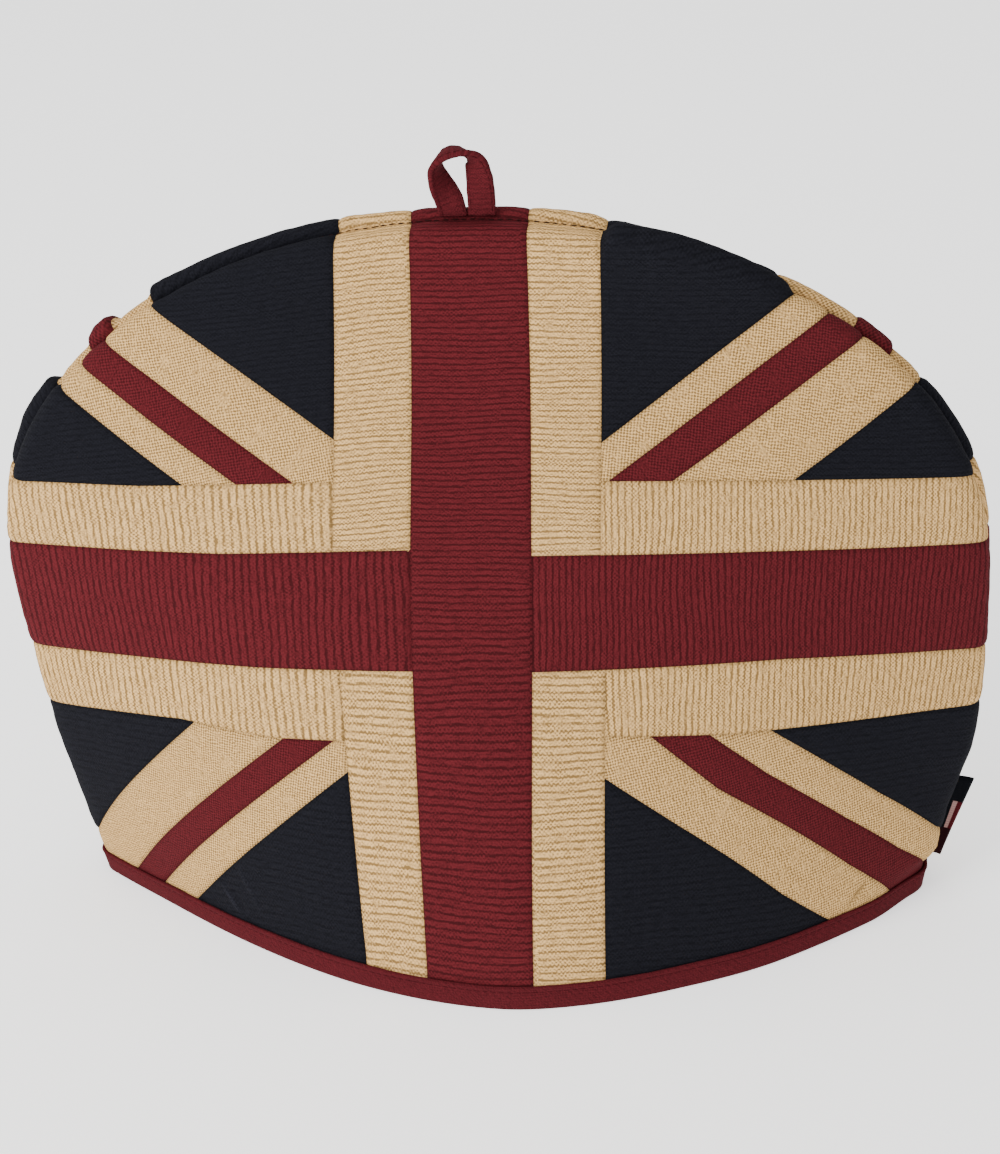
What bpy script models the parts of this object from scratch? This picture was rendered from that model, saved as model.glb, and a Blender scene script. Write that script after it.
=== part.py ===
"""Padded tea cosy: two domed panels, a bound hem, a hanging loop and a side tag.

Metres, +Z up. The origin is the middle of the hem on the surface that the cosy
stands on. The seam that joins the panels lies in the plane Y = 0, and the front
panel faces -Y. The cosy is open underneath, and its inside is one hollow.
"""

import math
from collections import namedtuple

import bpy
import numpy as np

# Outline of the seam, seen from the front
HEIGHT = 0.264          # top of the padded edge, without the loop
WAIST_HEIGHT = 0.132    # where the cosy is widest
WAIST_HALF = 0.178      # half width there
HEM_HALF = 0.158        # half width at the hem
SHOULDER = math.radians(37)     # where the side edges of the panel's grid end

# Padding
PAD = 0.007             # thickness of a quilted panel
HEM_PAD = 0.0048        # the same, pressed flat inside the binding
SQUEEZE_HEIGHT = 0.018  # height over which the padding thins to the hem
NOSE = 0.00375          # radius of the padded edge either side of the seam
HALF_GAP = 0.00015      # half of the clearance between pieces that touch
GAP = 2 * HALF_GAP

# Binding of the hem
BIND_CLOTH = 0.0012     # folded bias strip
BIND_HEIGHT = 0.0085
BIND_INNER_GAP = 0.00045
BIND_CORNER = 0.0080        # how far inside the seam the inner leg turns back
HEM_LIFT = BIND_CLOTH + GAP
HEM_TOP = 0.0090        # first row of the panel above the binding

# Depth of a panel by height: bulge past the padded edge, the power that makes its
# section full (high) or pointed (low), and how far its crest lies towards +X
Level = namedtuple("Level", "height bulge fullness crest")
LEVELS = (
    Level(0.000, 0.083, 1.75, 0.010),
    Level(0.053, 0.071, 1.65, 0.008),
    Level(0.106, 0.054, 1.75, 0.002),
    Level(0.158, 0.036, 2.15, 0.000),
    Level(0.211, 0.013, 2.80, 0.000),
    Level(0.243, 0.004, 3.00, 0.000),
    Level(0.264, 0.000, 3.00, 0.000),
)

# Rows of a panel's grid: distances from an edge, then an even spacing
EDGE_STEPS = (0.0, 0.0006, 0.0020, 0.0045, 0.0090, 0.0160, 0.0260)
EVEN_ACROSS = 22
EVEN_UP = 15
HEM_STEPS = (0.0, 0.0060, 0.0140)
LIP_TURNS = (30, 60)        # degrees round the padded edge, from the seam

# Hanging loop: a folded strip, both ends in the top seam
LOOP_WIDTH = 0.0096
LOOP_THICK = 0.0024
LOOP_SEAT = 0.0007      # how far its ends stand in the valley of the seam
Turn = namedtuple("Turn", "x rise twist")   # centre of the strip and its turn in degrees
LOOP_TURNS = (
    Turn(0.0040, -LOOP_SEAT, 0),
    Turn(0.0040, 0.0075, 4),
    Turn(0.0037, 0.0140, 22),
    Turn(0.0016, 0.0200, 55),
    Turn(-0.0030, 0.0232, 84),
    Turn(-0.0080, 0.0222, 94),
    Turn(-0.0113, 0.0175, 80),
    Turn(-0.0104, 0.0115, 50),
    Turn(-0.0077, 0.0055, 16),
    Turn(-0.0063, -LOOP_SEAT, 0),
)
LOOP_SEGMENTS = 36

# Side tag: a short folded ribbon in the right side seam
TAG_FOOT = 0.0105
TAG_TOP = 0.0425
TAG_THICK = 0.0012
TAG_SEAT = 0.0012       # how far it stands in the valley of the seam
TAG_REACH_TOP = 0.0060  # how far it stands out past the padded edge
TAG_REACH_FOOT = 0.0030
TAG_CURL = 0.0016       # how far its free edge bends to the front
TAG_ROWS = 6
TAG_COLUMNS = 4

# Colours of the materials: red, green, blue, alpha
PANEL_COLOUR = (0.56, 0.41, 0.26, 1.0)
RED_CLOTH = (0.13, 0.016, 0.021, 1.0)
TAG_COLOUR = (0.012, 0.013, 0.018, 1.0)


def clear_scene():
    """Remove what the scene holds."""
    for obj in list(bpy.data.objects):
        bpy.data.objects.remove(obj, do_unlink=True)


def cloth_material(name, colour, roughness):
    """Return a plain cloth material."""
    material = bpy.data.materials.new(name)
    material.use_nodes = True
    shader = material.node_tree.nodes["Principled BSDF"]
    shader.inputs["Base Color"].default_value = colour
    shader.inputs["Roughness"].default_value = roughness
    shader.inputs["Metallic"].default_value = 0.0
    return material


def add_piece(name, points, faces, material):
    """Make one closed, smooth-shaded object from points and faces."""
    mesh = bpy.data.meshes.new(name)
    mesh.from_pydata([tuple(map(float, point)) for point in points], [], faces)
    mesh.validate()
    mesh.materials.append(material)
    mesh.shade_smooth()
    mesh.set_sharp_from_angle(angle=math.radians(40))
    piece = bpy.data.objects.new(name, mesh)
    bpy.context.scene.collection.objects.link(piece)
    return piece


def smooth_steps(heights, knots, values):
    """Interpolate values between knots with smooth, never overshooting steps."""
    knots, values = np.asarray(knots), np.asarray(values)
    widths = np.diff(knots)
    slopes = np.diff(values) / widths
    inner = np.where(
        slopes[:-1] * slopes[1:] > 0,
        2 * slopes[:-1] * slopes[1:] / (slopes[:-1] + slopes[1:] + 1e-12),
        0.0,
    )
    tangents = np.concatenate([[slopes[0]], inner, [slopes[-1]]])
    heights = np.clip(heights, knots[0], knots[-1])
    cell = np.clip(np.searchsorted(knots, heights, side="right") - 1, 0, len(widths) - 1)
    step = (heights - knots[cell]) / widths[cell]
    rise = values[cell + 1] - values[cell]
    start, end = tangents[cell] * widths[cell], tangents[cell + 1] * widths[cell]
    cubic = start + end - 2 * rise
    square = 3 * rise - 2 * start - end
    return values[cell] + step * (start + step * (square + step * cubic))


def level_values(heights, column):
    """Return one column of the table of levels at the given heights."""
    return smooth_steps(
        heights, [level.height for level in LEVELS], [getattr(level, column) for level in LEVELS]
    )


def half_width(height):
    """Return the half width of the seam's outline at a height."""
    height = np.asarray(height, float)
    lower = HEM_HALF + (WAIST_HALF - HEM_HALF) * np.sin(
        0.5 * math.pi * np.clip(height / WAIST_HEIGHT, 0, 1)
    )
    reach = np.clip((height - WAIST_HEIGHT) / (HEIGHT - WAIST_HEIGHT), 0, 1)
    return np.where(height < WAIST_HEIGHT, lower, WAIST_HALF * np.sqrt(1 - reach**2))


def dome_point(angle, inset):
    """Return x and z on the upper half of the outline, moved inwards by the inset."""
    rise = HEIGHT - WAIST_HEIGHT
    x, z = WAIST_HALF * np.cos(angle), WAIST_HEIGHT + rise * np.sin(angle)
    normal = np.stack([np.cos(angle) / WAIST_HALF, np.sin(angle) / rise])
    normal /= np.hypot(normal[0], normal[1])
    return x - inset * normal[0], z - inset * normal[1]


def right_side(distance, start, inset):
    """Return x and z on the right outline, a distance above the start height."""
    distance = np.asarray(distance, float)
    straight = WAIST_HEIGHT - start
    below = start + np.minimum(distance, straight)
    angle = SHOULDER * np.clip((distance - straight) / dome_run(), 0, 1)
    x_dome, z_dome = dome_point(angle, inset)
    on_dome = distance > straight
    return np.where(on_dome, x_dome, half_width(below) - inset), np.where(on_dome, z_dome, below)


def dome_run():
    """Return the length of the outline from the waist to the shoulder."""
    angles = np.linspace(0, SHOULDER, 40)
    x, z = dome_point(angles, 0.0)
    return float(np.hypot(np.diff(x), np.diff(z)).sum())


def edge_distance(x, z):
    """Return how far points lie inside the outline, seen from the front."""
    heights = np.linspace(0, WAIST_HEIGHT, 60)
    angles = np.linspace(0, math.pi / 2, 160)
    x_dome, z_dome = dome_point(angles, 0.0)
    line_x = np.concatenate([half_width(heights), x_dome])
    line_z = np.concatenate([heights, z_dome])
    offsets = np.hypot(np.abs(x)[..., None] - line_x, z[..., None] - line_z)
    return offsets.min(axis=-1)


def bulge(x, z):
    """Return the depth of the panel's crown past its padded edge."""
    crest = level_values(z, "crest")
    half = half_width(z) + 1e-9
    side = np.where(x < crest, (crest - x) / (half + crest), (x - crest) / (half - crest))
    fullness = level_values(z, "fullness")
    return level_values(z, "bulge") * (1 - np.clip(side, 0, 1) ** fullness)


def hem_squeeze(z):
    """Return 1 at the hem, falling to 0 where the padding has its full thickness."""
    reach = np.clip((z - HEM_LIFT) / SQUEEZE_HEIGHT, 0, 1)
    return 1 - reach * reach * (3 - 2 * reach)


def outer_depth(x, z):
    """Return the depth of the panel's outer face in front of the seam's plane."""
    inside = np.clip(edge_distance(x, z) / NOSE, 0, 1)
    edge = NOSE * (1 + np.sqrt(1 - (1 - inside) ** 2))
    return edge + bulge(x, z) - 0.3 * (PAD - HEM_PAD) * hem_squeeze(z) * inside


def inner_depth(x, z):
    """Return the depth of the panel's inner face, never past the seam's plane."""
    probe = 0.0005
    slope_x = (bulge(x + probe, z) - bulge(x - probe, z)) / (2 * probe)
    slope_z = (bulge(x, z + probe) - bulge(x, z - probe)) / (2 * probe)
    wall = PAD + (HEM_PAD - PAD) * hem_squeeze(z)
    lean = np.sqrt(1 + slope_x**2 + slope_z**2)
    return np.maximum(2 * NOSE + bulge(x, z) - wall * lean, HALF_GAP)


def steps_from_edges(length, near_start, near_end, count):
    """Return positions from 0 to 1 that are close together at the ends."""
    start = np.array(near_start) / length
    end = 1 - np.array(near_end)[::-1] / length
    middle = np.linspace(start[-1], end[0], count + 1)[1:-1]
    return np.concatenate([start, middle, end])


def panel_steps():
    """Return the grid's positions across the panel and up it."""
    side_run = WAIST_HEIGHT - HEM_TOP + dome_run()
    across = steps_from_edges(2 * HEM_HALF, EDGE_STEPS, EDGE_STEPS, EVEN_ACROSS)
    return across, steps_from_edges(side_run, HEM_STEPS, EDGE_STEPS, EVEN_UP), side_run


def panel_footprint(inset):
    """Return x and z of the grid, seen from the front, from the hem to the top."""
    across, up, side_run = panel_steps()
    side_x, side_z = right_side(up * side_run, HEM_TOP, inset)
    top_angle = (math.pi - SHOULDER) + across * (2 * SHOULDER - math.pi)
    top_x, top_z = dome_point(top_angle, inset)
    p, q = np.meshgrid(across, up)
    grid_x = q * top_x + (2 * p - 1) * (side_x[:, None] - q * side_x[-1])
    grid_z = q * (top_z - side_z[-1]) + side_z[:, None]
    hem_x = (2 * across - 1) * (half_width(HEM_LIFT) - inset)
    hem_z = np.full_like(hem_x, HEM_LIFT)
    return np.vstack([hem_x, grid_x]), np.vstack([hem_z, grid_z])


def panel_points(facing):
    """Return the panel's outer rows, the rows round its edge and its inner rows."""
    x, z = panel_footprint(0.0)
    outer = np.stack([x, facing * outer_depth(x, z), z], axis=-1)
    lips = []
    for turn in reversed(LIP_TURNS):
        angle = math.radians(turn)
        x, z = panel_footprint(NOSE * (1 - math.sin(angle)))
        depth = max(NOSE * (1 - math.cos(angle)), 2 * HALF_GAP)
        lips.append(np.stack([x, np.full_like(x, facing * depth), z], axis=-1))
    x, z = panel_footprint(NOSE)
    depth = inner_depth(x, z)
    depth[:, 0] = depth[:, -1] = depth[-1, :] = HALF_GAP
    inner = np.stack([x, facing * depth, z], axis=-1)
    return outer, lips, inner


def edge_path(rows, columns):
    """Return the grid cells along the seam: up the left, over the top, down the right."""
    left = [(row, 0) for row in range(rows)]
    top = [(rows - 1, column) for column in range(1, columns - 1)]
    right = [(row, columns - 1) for row in reversed(range(rows))]
    return left + top + right


def build_panel(name, facing, material):
    """Make one padded panel. facing is -1 for the front and 1 for the back."""
    outer, lips, inner = panel_points(facing)
    rows, columns = outer.shape[:2]
    path = edge_path(rows, columns)
    points, faces = [], []

    def add_grid(grid):
        start = len(points)
        points.extend(grid.reshape(-1, 3))
        return lambda row, column: start + row * columns + column

    def add_face(corners, outside):
        faces.append(tuple(corners) if outside == (facing < 0) else tuple(reversed(corners)))

    outer_at, inner_at = add_grid(outer), add_grid(inner)
    for row in range(rows - 1):
        for column in range(columns - 1):
            cell = [(row, column), (row, column + 1), (row + 1, column + 1), (row + 1, column)]
            add_face([outer_at(*corner) for corner in cell], outside=True)
            add_face([inner_at(*corner) for corner in cell], outside=False)
    bands = [[outer_at(*cell) for cell in path]]
    for lip in lips:
        start = len(points)
        points.extend(lip[row, column] for row, column in path)
        bands.append([start + step for step in range(len(path))])
    bands.append([inner_at(*cell) for cell in path])
    for upper, lower in zip(bands, bands[1:]):
        for step in range(len(path) - 1):
            corners = [upper[step], upper[step + 1], lower[step + 1], lower[step]]
            add_face(corners, outside=True)
    for column in range(columns - 1):
        corners = [
            outer_at(0, column), outer_at(0, column + 1),
            inner_at(0, column + 1), inner_at(0, column),
        ]
        if column == 0:
            corners += [band[0] for band in bands[-2:0:-1]]
        if column == columns - 2:
            corners[2:2] = [band[-1] for band in bands[1:-1]]
        add_face(corners, outside=False)
    return add_piece(name, points, faces, material)


def hem_row(depth, x_limit, height):
    """Return x and y of one side of the hem's loop, from -X to +X."""
    across, _, _ = panel_steps()
    x = (2 * across - 1) * x_limit
    return np.stack([x, -depth(x, np.full_like(x, height))], axis=-1)


def closed_loop(front):
    """Return a loop round the hem from its front half, and its outward normals."""
    loop = np.vstack([front, front[::-1] * (1, -1)])
    ahead = np.roll(loop, -1, axis=0) - loop
    behind = loop - np.roll(loop, 1, axis=0)
    ahead /= np.linalg.norm(ahead, axis=1)[:, None]
    behind /= np.linalg.norm(behind, axis=1)[:, None]
    turned = [np.stack([way[:, 1], -way[:, 0]], axis=-1) for way in (ahead, behind)]
    normal = turned[0] + turned[1]
    normal /= np.linalg.norm(normal, axis=1)[:, None]
    mitre = np.clip((normal * turned[0]).sum(axis=1), 0.6, 1.0)
    return loop, normal / mitre[:, None]


def build_binding(material):
    """Make the strip folded round the hem: two legs joined under the padding."""
    low, top = half_width(HEM_LIFT), half_width(HEM_TOP)
    low_out = closed_loop(hem_row(outer_depth, low, HEM_LIFT))
    top_out = closed_loop(hem_row(outer_depth, top, HEM_TOP))
    low_in = closed_loop(hem_row(inner_depth, low - BIND_CORNER, HEM_LIFT))
    top_in = closed_loop(hem_row(inner_depth, top - BIND_CORNER, HEM_TOP))
    reach = (BIND_HEIGHT - HEM_LIFT) / (HEM_TOP - HEM_LIFT)

    def ring(low, top, share, shift, height):
        loop = low[0] + share * (top[0] - low[0]) + shift * low[1]
        return np.column_stack([loop, np.full(len(loop), height)])

    outer_face, inner_face = GAP + BIND_CLOTH, BIND_INNER_GAP + BIND_CLOTH
    rings = [
        ring(low_out, top_out, 0, outer_face, 0.0),
        ring(low_out, top_out, reach, outer_face, BIND_HEIGHT),
        ring(low_out, top_out, reach, GAP, BIND_HEIGHT),
        ring(low_out, top_out, 0, GAP, BIND_CLOTH),
        ring(low_in, top_in, 0, -BIND_INNER_GAP, BIND_CLOTH),
        ring(low_in, top_in, reach, -BIND_INNER_GAP, BIND_HEIGHT),
        ring(low_in, top_in, reach, -inner_face, BIND_HEIGHT),
        ring(low_in, top_in, 0, -inner_face, 0.0),
    ]
    count = len(rings[0])
    faces = []
    for band in range(len(rings)):
        here, there = band * count, ((band + 1) % len(rings)) * count
        for step in range(count):
            ahead = (step + 1) % count
            faces.append((here + step, here + ahead, there + ahead, there + step))
    return add_piece("hem_binding", np.vstack(rings), faces, material)


def smooth_route(turns, count):
    """Return evenly stepped values on a smooth curve through the rows of a table."""
    rows = np.array([tuple(turn) for turn in turns])
    lengths = np.hypot(np.diff(rows[:, 0]), np.diff(rows[:, 1]))
    stations = np.concatenate([[0], np.cumsum(lengths)])
    slopes = np.gradient(rows, stations, axis=0)
    slopes[0, 0] = slopes[-1, 0] = 0.0
    at = np.linspace(0, stations[-1], count + 1)
    cell = np.clip(np.searchsorted(stations, at, side="right") - 1, 0, len(lengths) - 1)
    width = lengths[cell][:, None]
    t = ((at - stations[cell]) / lengths[cell])[:, None]
    start, end = rows[cell], rows[cell + 1]
    pull, push = slopes[cell] * width, slopes[cell + 1] * width
    blend = 3 * t**2 - 2 * t**3
    return start + blend * (end - start) + (t - 2 * t**2 + t**3) * pull + (t**3 - t**2) * push


def build_loop(material):
    """Make the hanging loop: a flat strip that turns edge-on over its top."""
    route = smooth_route(LOOP_TURNS, LOOP_SEGMENTS)
    centre = np.column_stack([route[:, 0], np.zeros(len(route)), HEIGHT + route[:, 1]])
    along = np.gradient(centre, axis=0)
    along[0] = along[-1] = (0, 0, 1)
    along[-1, 2] = -1
    along /= np.linalg.norm(along, axis=1)[:, None]
    across = np.cross(along, (0, 1, 0))
    twist = np.radians(route[:, 2])[:, None]
    towards_back = np.array([0, 1.0, 0])
    wide = np.cos(twist) * across + np.sin(twist) * towards_back
    thin = np.cross(wide, along)
    half_wide, half_thin = 0.5 * LOOP_WIDTH, 0.5 * LOOP_THICK
    rounded = ((-1, -0.55), (-0.86, -1), (0.86, -1), (1, -0.55),
               (1, 0.55), (0.86, 1), (-0.86, 1), (-1, 0.55))
    sides = len(rounded)
    points = []
    for middle, wide_way, thin_way in zip(centre, wide, thin):
        points += [
            middle + w * half_wide * wide_way + t * half_thin * thin_way for w, t in rounded
        ]
    faces = [tuple(range(sides)), tuple(reversed(range(len(points) - sides, len(points))))]
    for step in range(len(centre) - 1):
        here, there = step * sides, (step + 1) * sides
        for side in range(sides):
            ahead = (side + 1) % sides
            faces.append((here + ahead, here + side, there + side, there + ahead))
    return add_piece("hanging_loop", points, faces, material)


def build_tag(material):
    """Make the folded ribbon that stands out of the right side seam."""
    points, faces = [], []
    for row in range(TAG_ROWS + 1):
        up = row / TAG_ROWS
        height = TAG_FOOT + up * (TAG_TOP - TAG_FOOT)
        edge = float(half_width(height))
        reach = TAG_REACH_FOOT + up * (TAG_REACH_TOP - TAG_REACH_FOOT)
        for side in (-1, 1):
            for column in range(TAG_COLUMNS + 1):
                out = column / TAG_COLUMNS
                x = edge - TAG_SEAT + out * (reach + TAG_SEAT)
                y = side * TAG_THICK / 2 - TAG_CURL * out**2
                points.append((min(x, WAIST_HALF), y, height))
    layer = TAG_COLUMNS + 1
    for row in range(TAG_ROWS):
        low, high = row * 2 * layer, (row + 1) * 2 * layer
        for column in range(TAG_COLUMNS):
            front = (low + column, low + column + 1, high + column + 1, high + column)
            faces.append(front)
            faces.append(tuple(corner + layer for corner in reversed(front)))
        faces.append((low + layer, low, high, high + layer))
        last = TAG_COLUMNS
        faces.append((low + last, low + layer + last, high + layer + last, high + last))
    for start, turn in ((0, 1), (TAG_ROWS * 2 * layer, -1)):
        for column in range(TAG_COLUMNS):
            cap = (start + column, start + layer + column,
                   start + layer + column + 1, start + column + 1)
            faces.append(cap[::turn])
    return add_piece("side_tag", points, faces, material)


def main():
    """Build the cosy."""
    clear_scene()
    panel_cloth = cloth_material("patchwork_canvas", PANEL_COLOUR, 0.9)
    red_cloth = cloth_material("red_canvas", RED_CLOTH, 0.9)
    tag_ribbon = cloth_material("tag_ribbon", TAG_COLOUR, 0.7)
    build_panel("front_panel", -1, panel_cloth)
    build_panel("back_panel", 1, panel_cloth)
    build_binding(red_cloth)
    build_loop(red_cloth)
    build_tag(tag_ribbon)


main()
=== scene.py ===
"""A padded patchwork tea cosy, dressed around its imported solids.

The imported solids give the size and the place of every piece. Each class below
makes one sewn piece of the cosy as a fine mesh over its solid and gives it its
cloth. Metres, +Z up. The seam between the two padded panels lies in the plane
Y = 0 and the front panel faces -Y.
"""

import logging
import math
from dataclasses import dataclass
from enum import Enum
from typing import Iterable, NamedTuple, Sequence

import bmesh
import bpy
import numpy as np
from mathutils import Matrix, Vector, geometry, noise


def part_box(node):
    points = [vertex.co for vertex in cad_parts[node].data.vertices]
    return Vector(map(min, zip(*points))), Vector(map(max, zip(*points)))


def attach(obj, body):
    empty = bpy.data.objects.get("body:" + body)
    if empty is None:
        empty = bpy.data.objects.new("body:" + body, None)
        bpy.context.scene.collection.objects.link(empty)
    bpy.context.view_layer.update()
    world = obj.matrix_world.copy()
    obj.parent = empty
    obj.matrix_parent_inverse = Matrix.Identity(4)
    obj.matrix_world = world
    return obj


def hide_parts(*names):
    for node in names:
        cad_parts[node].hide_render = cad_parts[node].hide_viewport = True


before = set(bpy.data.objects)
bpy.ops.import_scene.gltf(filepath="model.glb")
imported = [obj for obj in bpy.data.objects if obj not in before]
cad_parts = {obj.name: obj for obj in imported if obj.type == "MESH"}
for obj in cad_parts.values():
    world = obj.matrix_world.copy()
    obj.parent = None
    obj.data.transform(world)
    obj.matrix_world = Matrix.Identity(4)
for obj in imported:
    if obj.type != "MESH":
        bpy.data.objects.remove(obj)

LOG = logging.getLogger("tea_cosy")
MM = 0.001
Array = np.ndarray
Colour = tuple[float, float, float]
Piece = bpy.types.Object
Mesh = bpy.types.Mesh
Material = bpy.types.Material
Socket = bpy.types.NodeSocket
Shell = bmesh.types.BMesh
Face = bmesh.types.BMFace


# ---------------------------------------------------------------------------
# Shape of the cosy
# ---------------------------------------------------------------------------


def smooth_steps(at: Array, knots: Sequence[float], values: Sequence[float]) -> Array:
    """Interpolate a table smoothly and without overshoot.

    Args:
        at: where the values are wanted.
        knots: rising places of the table.
        values: the table's value at each knot.

    Returns:
        One value for each place.
    """
    places, levels = np.asarray(knots, float), np.asarray(values, float)
    widths = np.diff(places)
    slopes = np.diff(levels) / widths
    inner = np.where(
        slopes[:-1] * slopes[1:] > 0,
        2 * slopes[:-1] * slopes[1:] / (slopes[:-1] + slopes[1:] + 1e-12),
        0.0,
    )
    tangents = np.concatenate([[slopes[0]], inner, [slopes[-1]]])
    inside = np.clip(at, places[0], places[-1])
    cell = np.clip(np.searchsorted(places, inside, side="right") - 1, 0, len(widths) - 1)
    step = (inside - places[cell]) / widths[cell]
    rise = levels[cell + 1] - levels[cell]
    start, end = tangents[cell] * widths[cell], tangents[cell + 1] * widths[cell]
    bend = start + end - 2 * rise
    return levels[cell] + step * (start + step * (3 * rise - 2 * start - end + step * bend))


def soft_step(at: Array, low: float, high: float) -> Array:
    """Rise smoothly from 0 at low to 1 at high."""
    share = np.clip((np.asarray(at, float) - low) / (high - low), 0, 1)
    return share * share * (3 - 2 * share)


def hump(at: Array, foot: float, top: float, edge: float, end: float) -> Array:
    """Rise smoothly from 0 at the foot to 1 at the top, and fall from the edge to 0 at the end."""
    return soft_step(at, foot, top) * (1 - soft_step(at, edge, end))


def fading(away: Array, reach: float) -> Array:
    """Return 1 where the distance is nothing, fading out past the reach."""
    return np.exp(-((away / reach) ** 2))


def columns(rows: Sequence[NamedTuple]) -> Array:
    """Return the columns of a table of rows of numbers."""
    return np.array(rows, float).T


def sway(x: float, y: float, z: float = 0.0) -> float:
    """Return smooth noise, about -1 to 1, at a place."""
    return noise.noise(Vector((x, y, z)))


def run_along(line: Array) -> Array:
    """Return how far along a line of points each of them lies."""
    return np.concatenate([[0], np.cumsum(np.linalg.norm(np.diff(line, axis=0), axis=1))])


def points_at(spots: Array, run: Array, line: Array) -> Array:
    """Return the points at some distances along a line of points."""
    return np.column_stack([np.interp(spots, run, column) for column in line.T])


def segment_distance(u: Array, v: Array, start: Array, end: Array) -> tuple[Array, Array]:
    """Return how far points lie from a straight stretch, and their share along it."""
    reach = end - start
    share = ((u - start[0]) * reach[0] + (v - start[1]) * reach[1]) / (reach @ reach)
    held = np.clip(share, 0, 1)
    return np.hypot(u - start[0] - held * reach[0], v - start[1] - held * reach[1]), share


class Level(NamedTuple):
    """The panel's section at one height."""

    height: float
    bulge: float
    fullness: float
    crest: float


class Slump(NamedTuple):
    """How far the hem has settled forwards at one place across it."""

    across: float
    forward: float


@dataclass(frozen=True)
class CosyShape:
    """The sewn outline of the cosy and how far its panels stand out from the seam.

    Attributes:
        height: the top of the outline.
        waist_half: half the greatest width.
        hem_lift: how high the panels' hem stands inside the binding.
        waist_height: where the outline is widest.
        hem_half: half the width at the hem.
        pad: the padding's thickness.
        hem_pad: its thickness inside the binding.
        hem_press: how far the binding presses the outer cloth in.
        squeeze_height: how far up the padding thins towards the hem.
        nose: the radius of the padded edge beside the seam.
        half_gap: how far each panel stops short of the seam's plane.
        slump_height: how far up the hem's settling reaches.
        corner_slump: how far the right corner of the hem is drawn in.
        corner_width: how far across the corner reaches.
        corner_heights: where the corner starts to fade out, and where it ends.
        slump: how far the hem has settled forwards, from left to right.
        levels: the panel's sections, from the hem to the top.
    """

    height: float
    waist_half: float
    hem_lift: float
    waist_height: float = 0.132
    hem_half: float = 0.158
    pad: float = 0.007
    hem_pad: float = 0.0048
    hem_press: float = 0.00066
    squeeze_height: float = 0.018
    nose: float = 0.00375
    half_gap: float = 0.00015
    slump_height: float = 0.06
    corner_slump: float = 0.0044
    corner_width: float = 0.023
    corner_heights: tuple[float, float] = (0.008, 0.018)
    slump: tuple[Slump, ...] = (
        Slump(-0.160, -0.0005),
        Slump(-0.125, -0.0025),
        Slump(-0.090, -0.0017),
        Slump(-0.040, -0.0002),
        Slump(0.020, 0.0000),
        Slump(0.065, 0.0012),
        Slump(0.105, 0.0042),
        Slump(0.160, 0.0042),
    )
    levels: tuple[Level, ...] = (
        Level(0.000, 0.083, 1.75, 0.010),
        Level(0.053, 0.071, 1.65, 0.008),
        Level(0.106, 0.054, 1.75, 0.002),
        Level(0.158, 0.036, 2.15, 0.000),
        Level(0.211, 0.013, 2.80, 0.000),
        Level(0.243, 0.004, 3.00, 0.000),
        Level(0.264, 0.000, 3.00, 0.000),
    )

    @classmethod
    def of_frame(cls) -> "CosyShape":
        """Read the outline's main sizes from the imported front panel."""
        low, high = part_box("front_panel")
        return cls(height=round(high.z, 5), waist_half=round(high.x, 5), hem_lift=round(low.z, 5))

    def level(self, z: Array, column: str) -> Array:
        """Return one column of the table of levels at the given heights."""
        return smooth_steps(z, columns(self.levels)[0], [getattr(row, column) for row in self.levels])

    def half_width(self, z: Array) -> Array:
        """Return the half width of the outline at the given heights."""
        z = np.asarray(z, float)
        swell = np.sin(0.5 * math.pi * np.clip(z / self.waist_height, 0, 1))
        lower = self.hem_half + (self.waist_half - self.hem_half) * swell
        reach = np.clip((z - self.waist_height) / (self.height - self.waist_height), 0, 1)
        return np.where(z < self.waist_height, lower, self.waist_half * np.sqrt(1 - reach**2))

    def dome(self, angle: Array, inset: float) -> Array:
        """Return points (x, z) on the upper outline, moved inwards by the inset."""
        rise = self.height - self.waist_height
        normal = np.stack([np.cos(angle) / self.waist_half, np.sin(angle) / rise], axis=-1)
        normal /= np.linalg.norm(normal, axis=-1, keepdims=True)
        x = self.waist_half * np.cos(angle)
        z = self.waist_height + rise * np.sin(angle)
        return np.stack([x, z], axis=-1) - inset * normal

    def ring(self, inset: float, spacing: float) -> Array:
        """Follow the outline up the left side, over the top and down the right side.

        Args:
            inset: how far inside the outline the ring runs.
            spacing: distance between its points.

        Returns:
            Points (x, z), as many for every inset.
        """
        side_steps = int((self.waist_height - self.hem_lift) / spacing)
        dome_steps = int(0.5 * math.pi * (self.waist_half + self.height - self.waist_height) / spacing)
        heights = np.linspace(self.hem_lift, self.waist_height, side_steps, endpoint=False)
        right = np.stack([self.half_width(heights) - inset, heights], axis=-1)
        over = self.dome(np.linspace(math.pi, 0, dome_steps + 1), inset)
        return np.concatenate([right * (-1, 1), over, right[::-1]])

    def edge_distance(self, x: Array, z: Array) -> Array:
        """Return how far points lie inside the outline, seen from the front."""
        line = self.ring(0.0, 2 * MM)
        line = np.abs(line[line[:, 0] > -1 * MM])
        offsets = np.hypot(np.abs(x)[..., None] - line[:, 0], z[..., None] - line[:, 1])
        return offsets.min(axis=-1)

    def clock(self, x: Array, z: Array) -> Array:
        """Return places round the outline in degrees, as the rows of rolls count them."""
        rise = (z - self.waist_height) / (self.height - self.waist_height)
        above = np.degrees(np.arctan2(np.maximum(rise, 0), x / self.waist_half))
        below = 90 * np.clip((self.waist_height - z) / self.waist_height, 0, 1)
        return np.where(x > 0, above - below, above + below)

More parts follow.
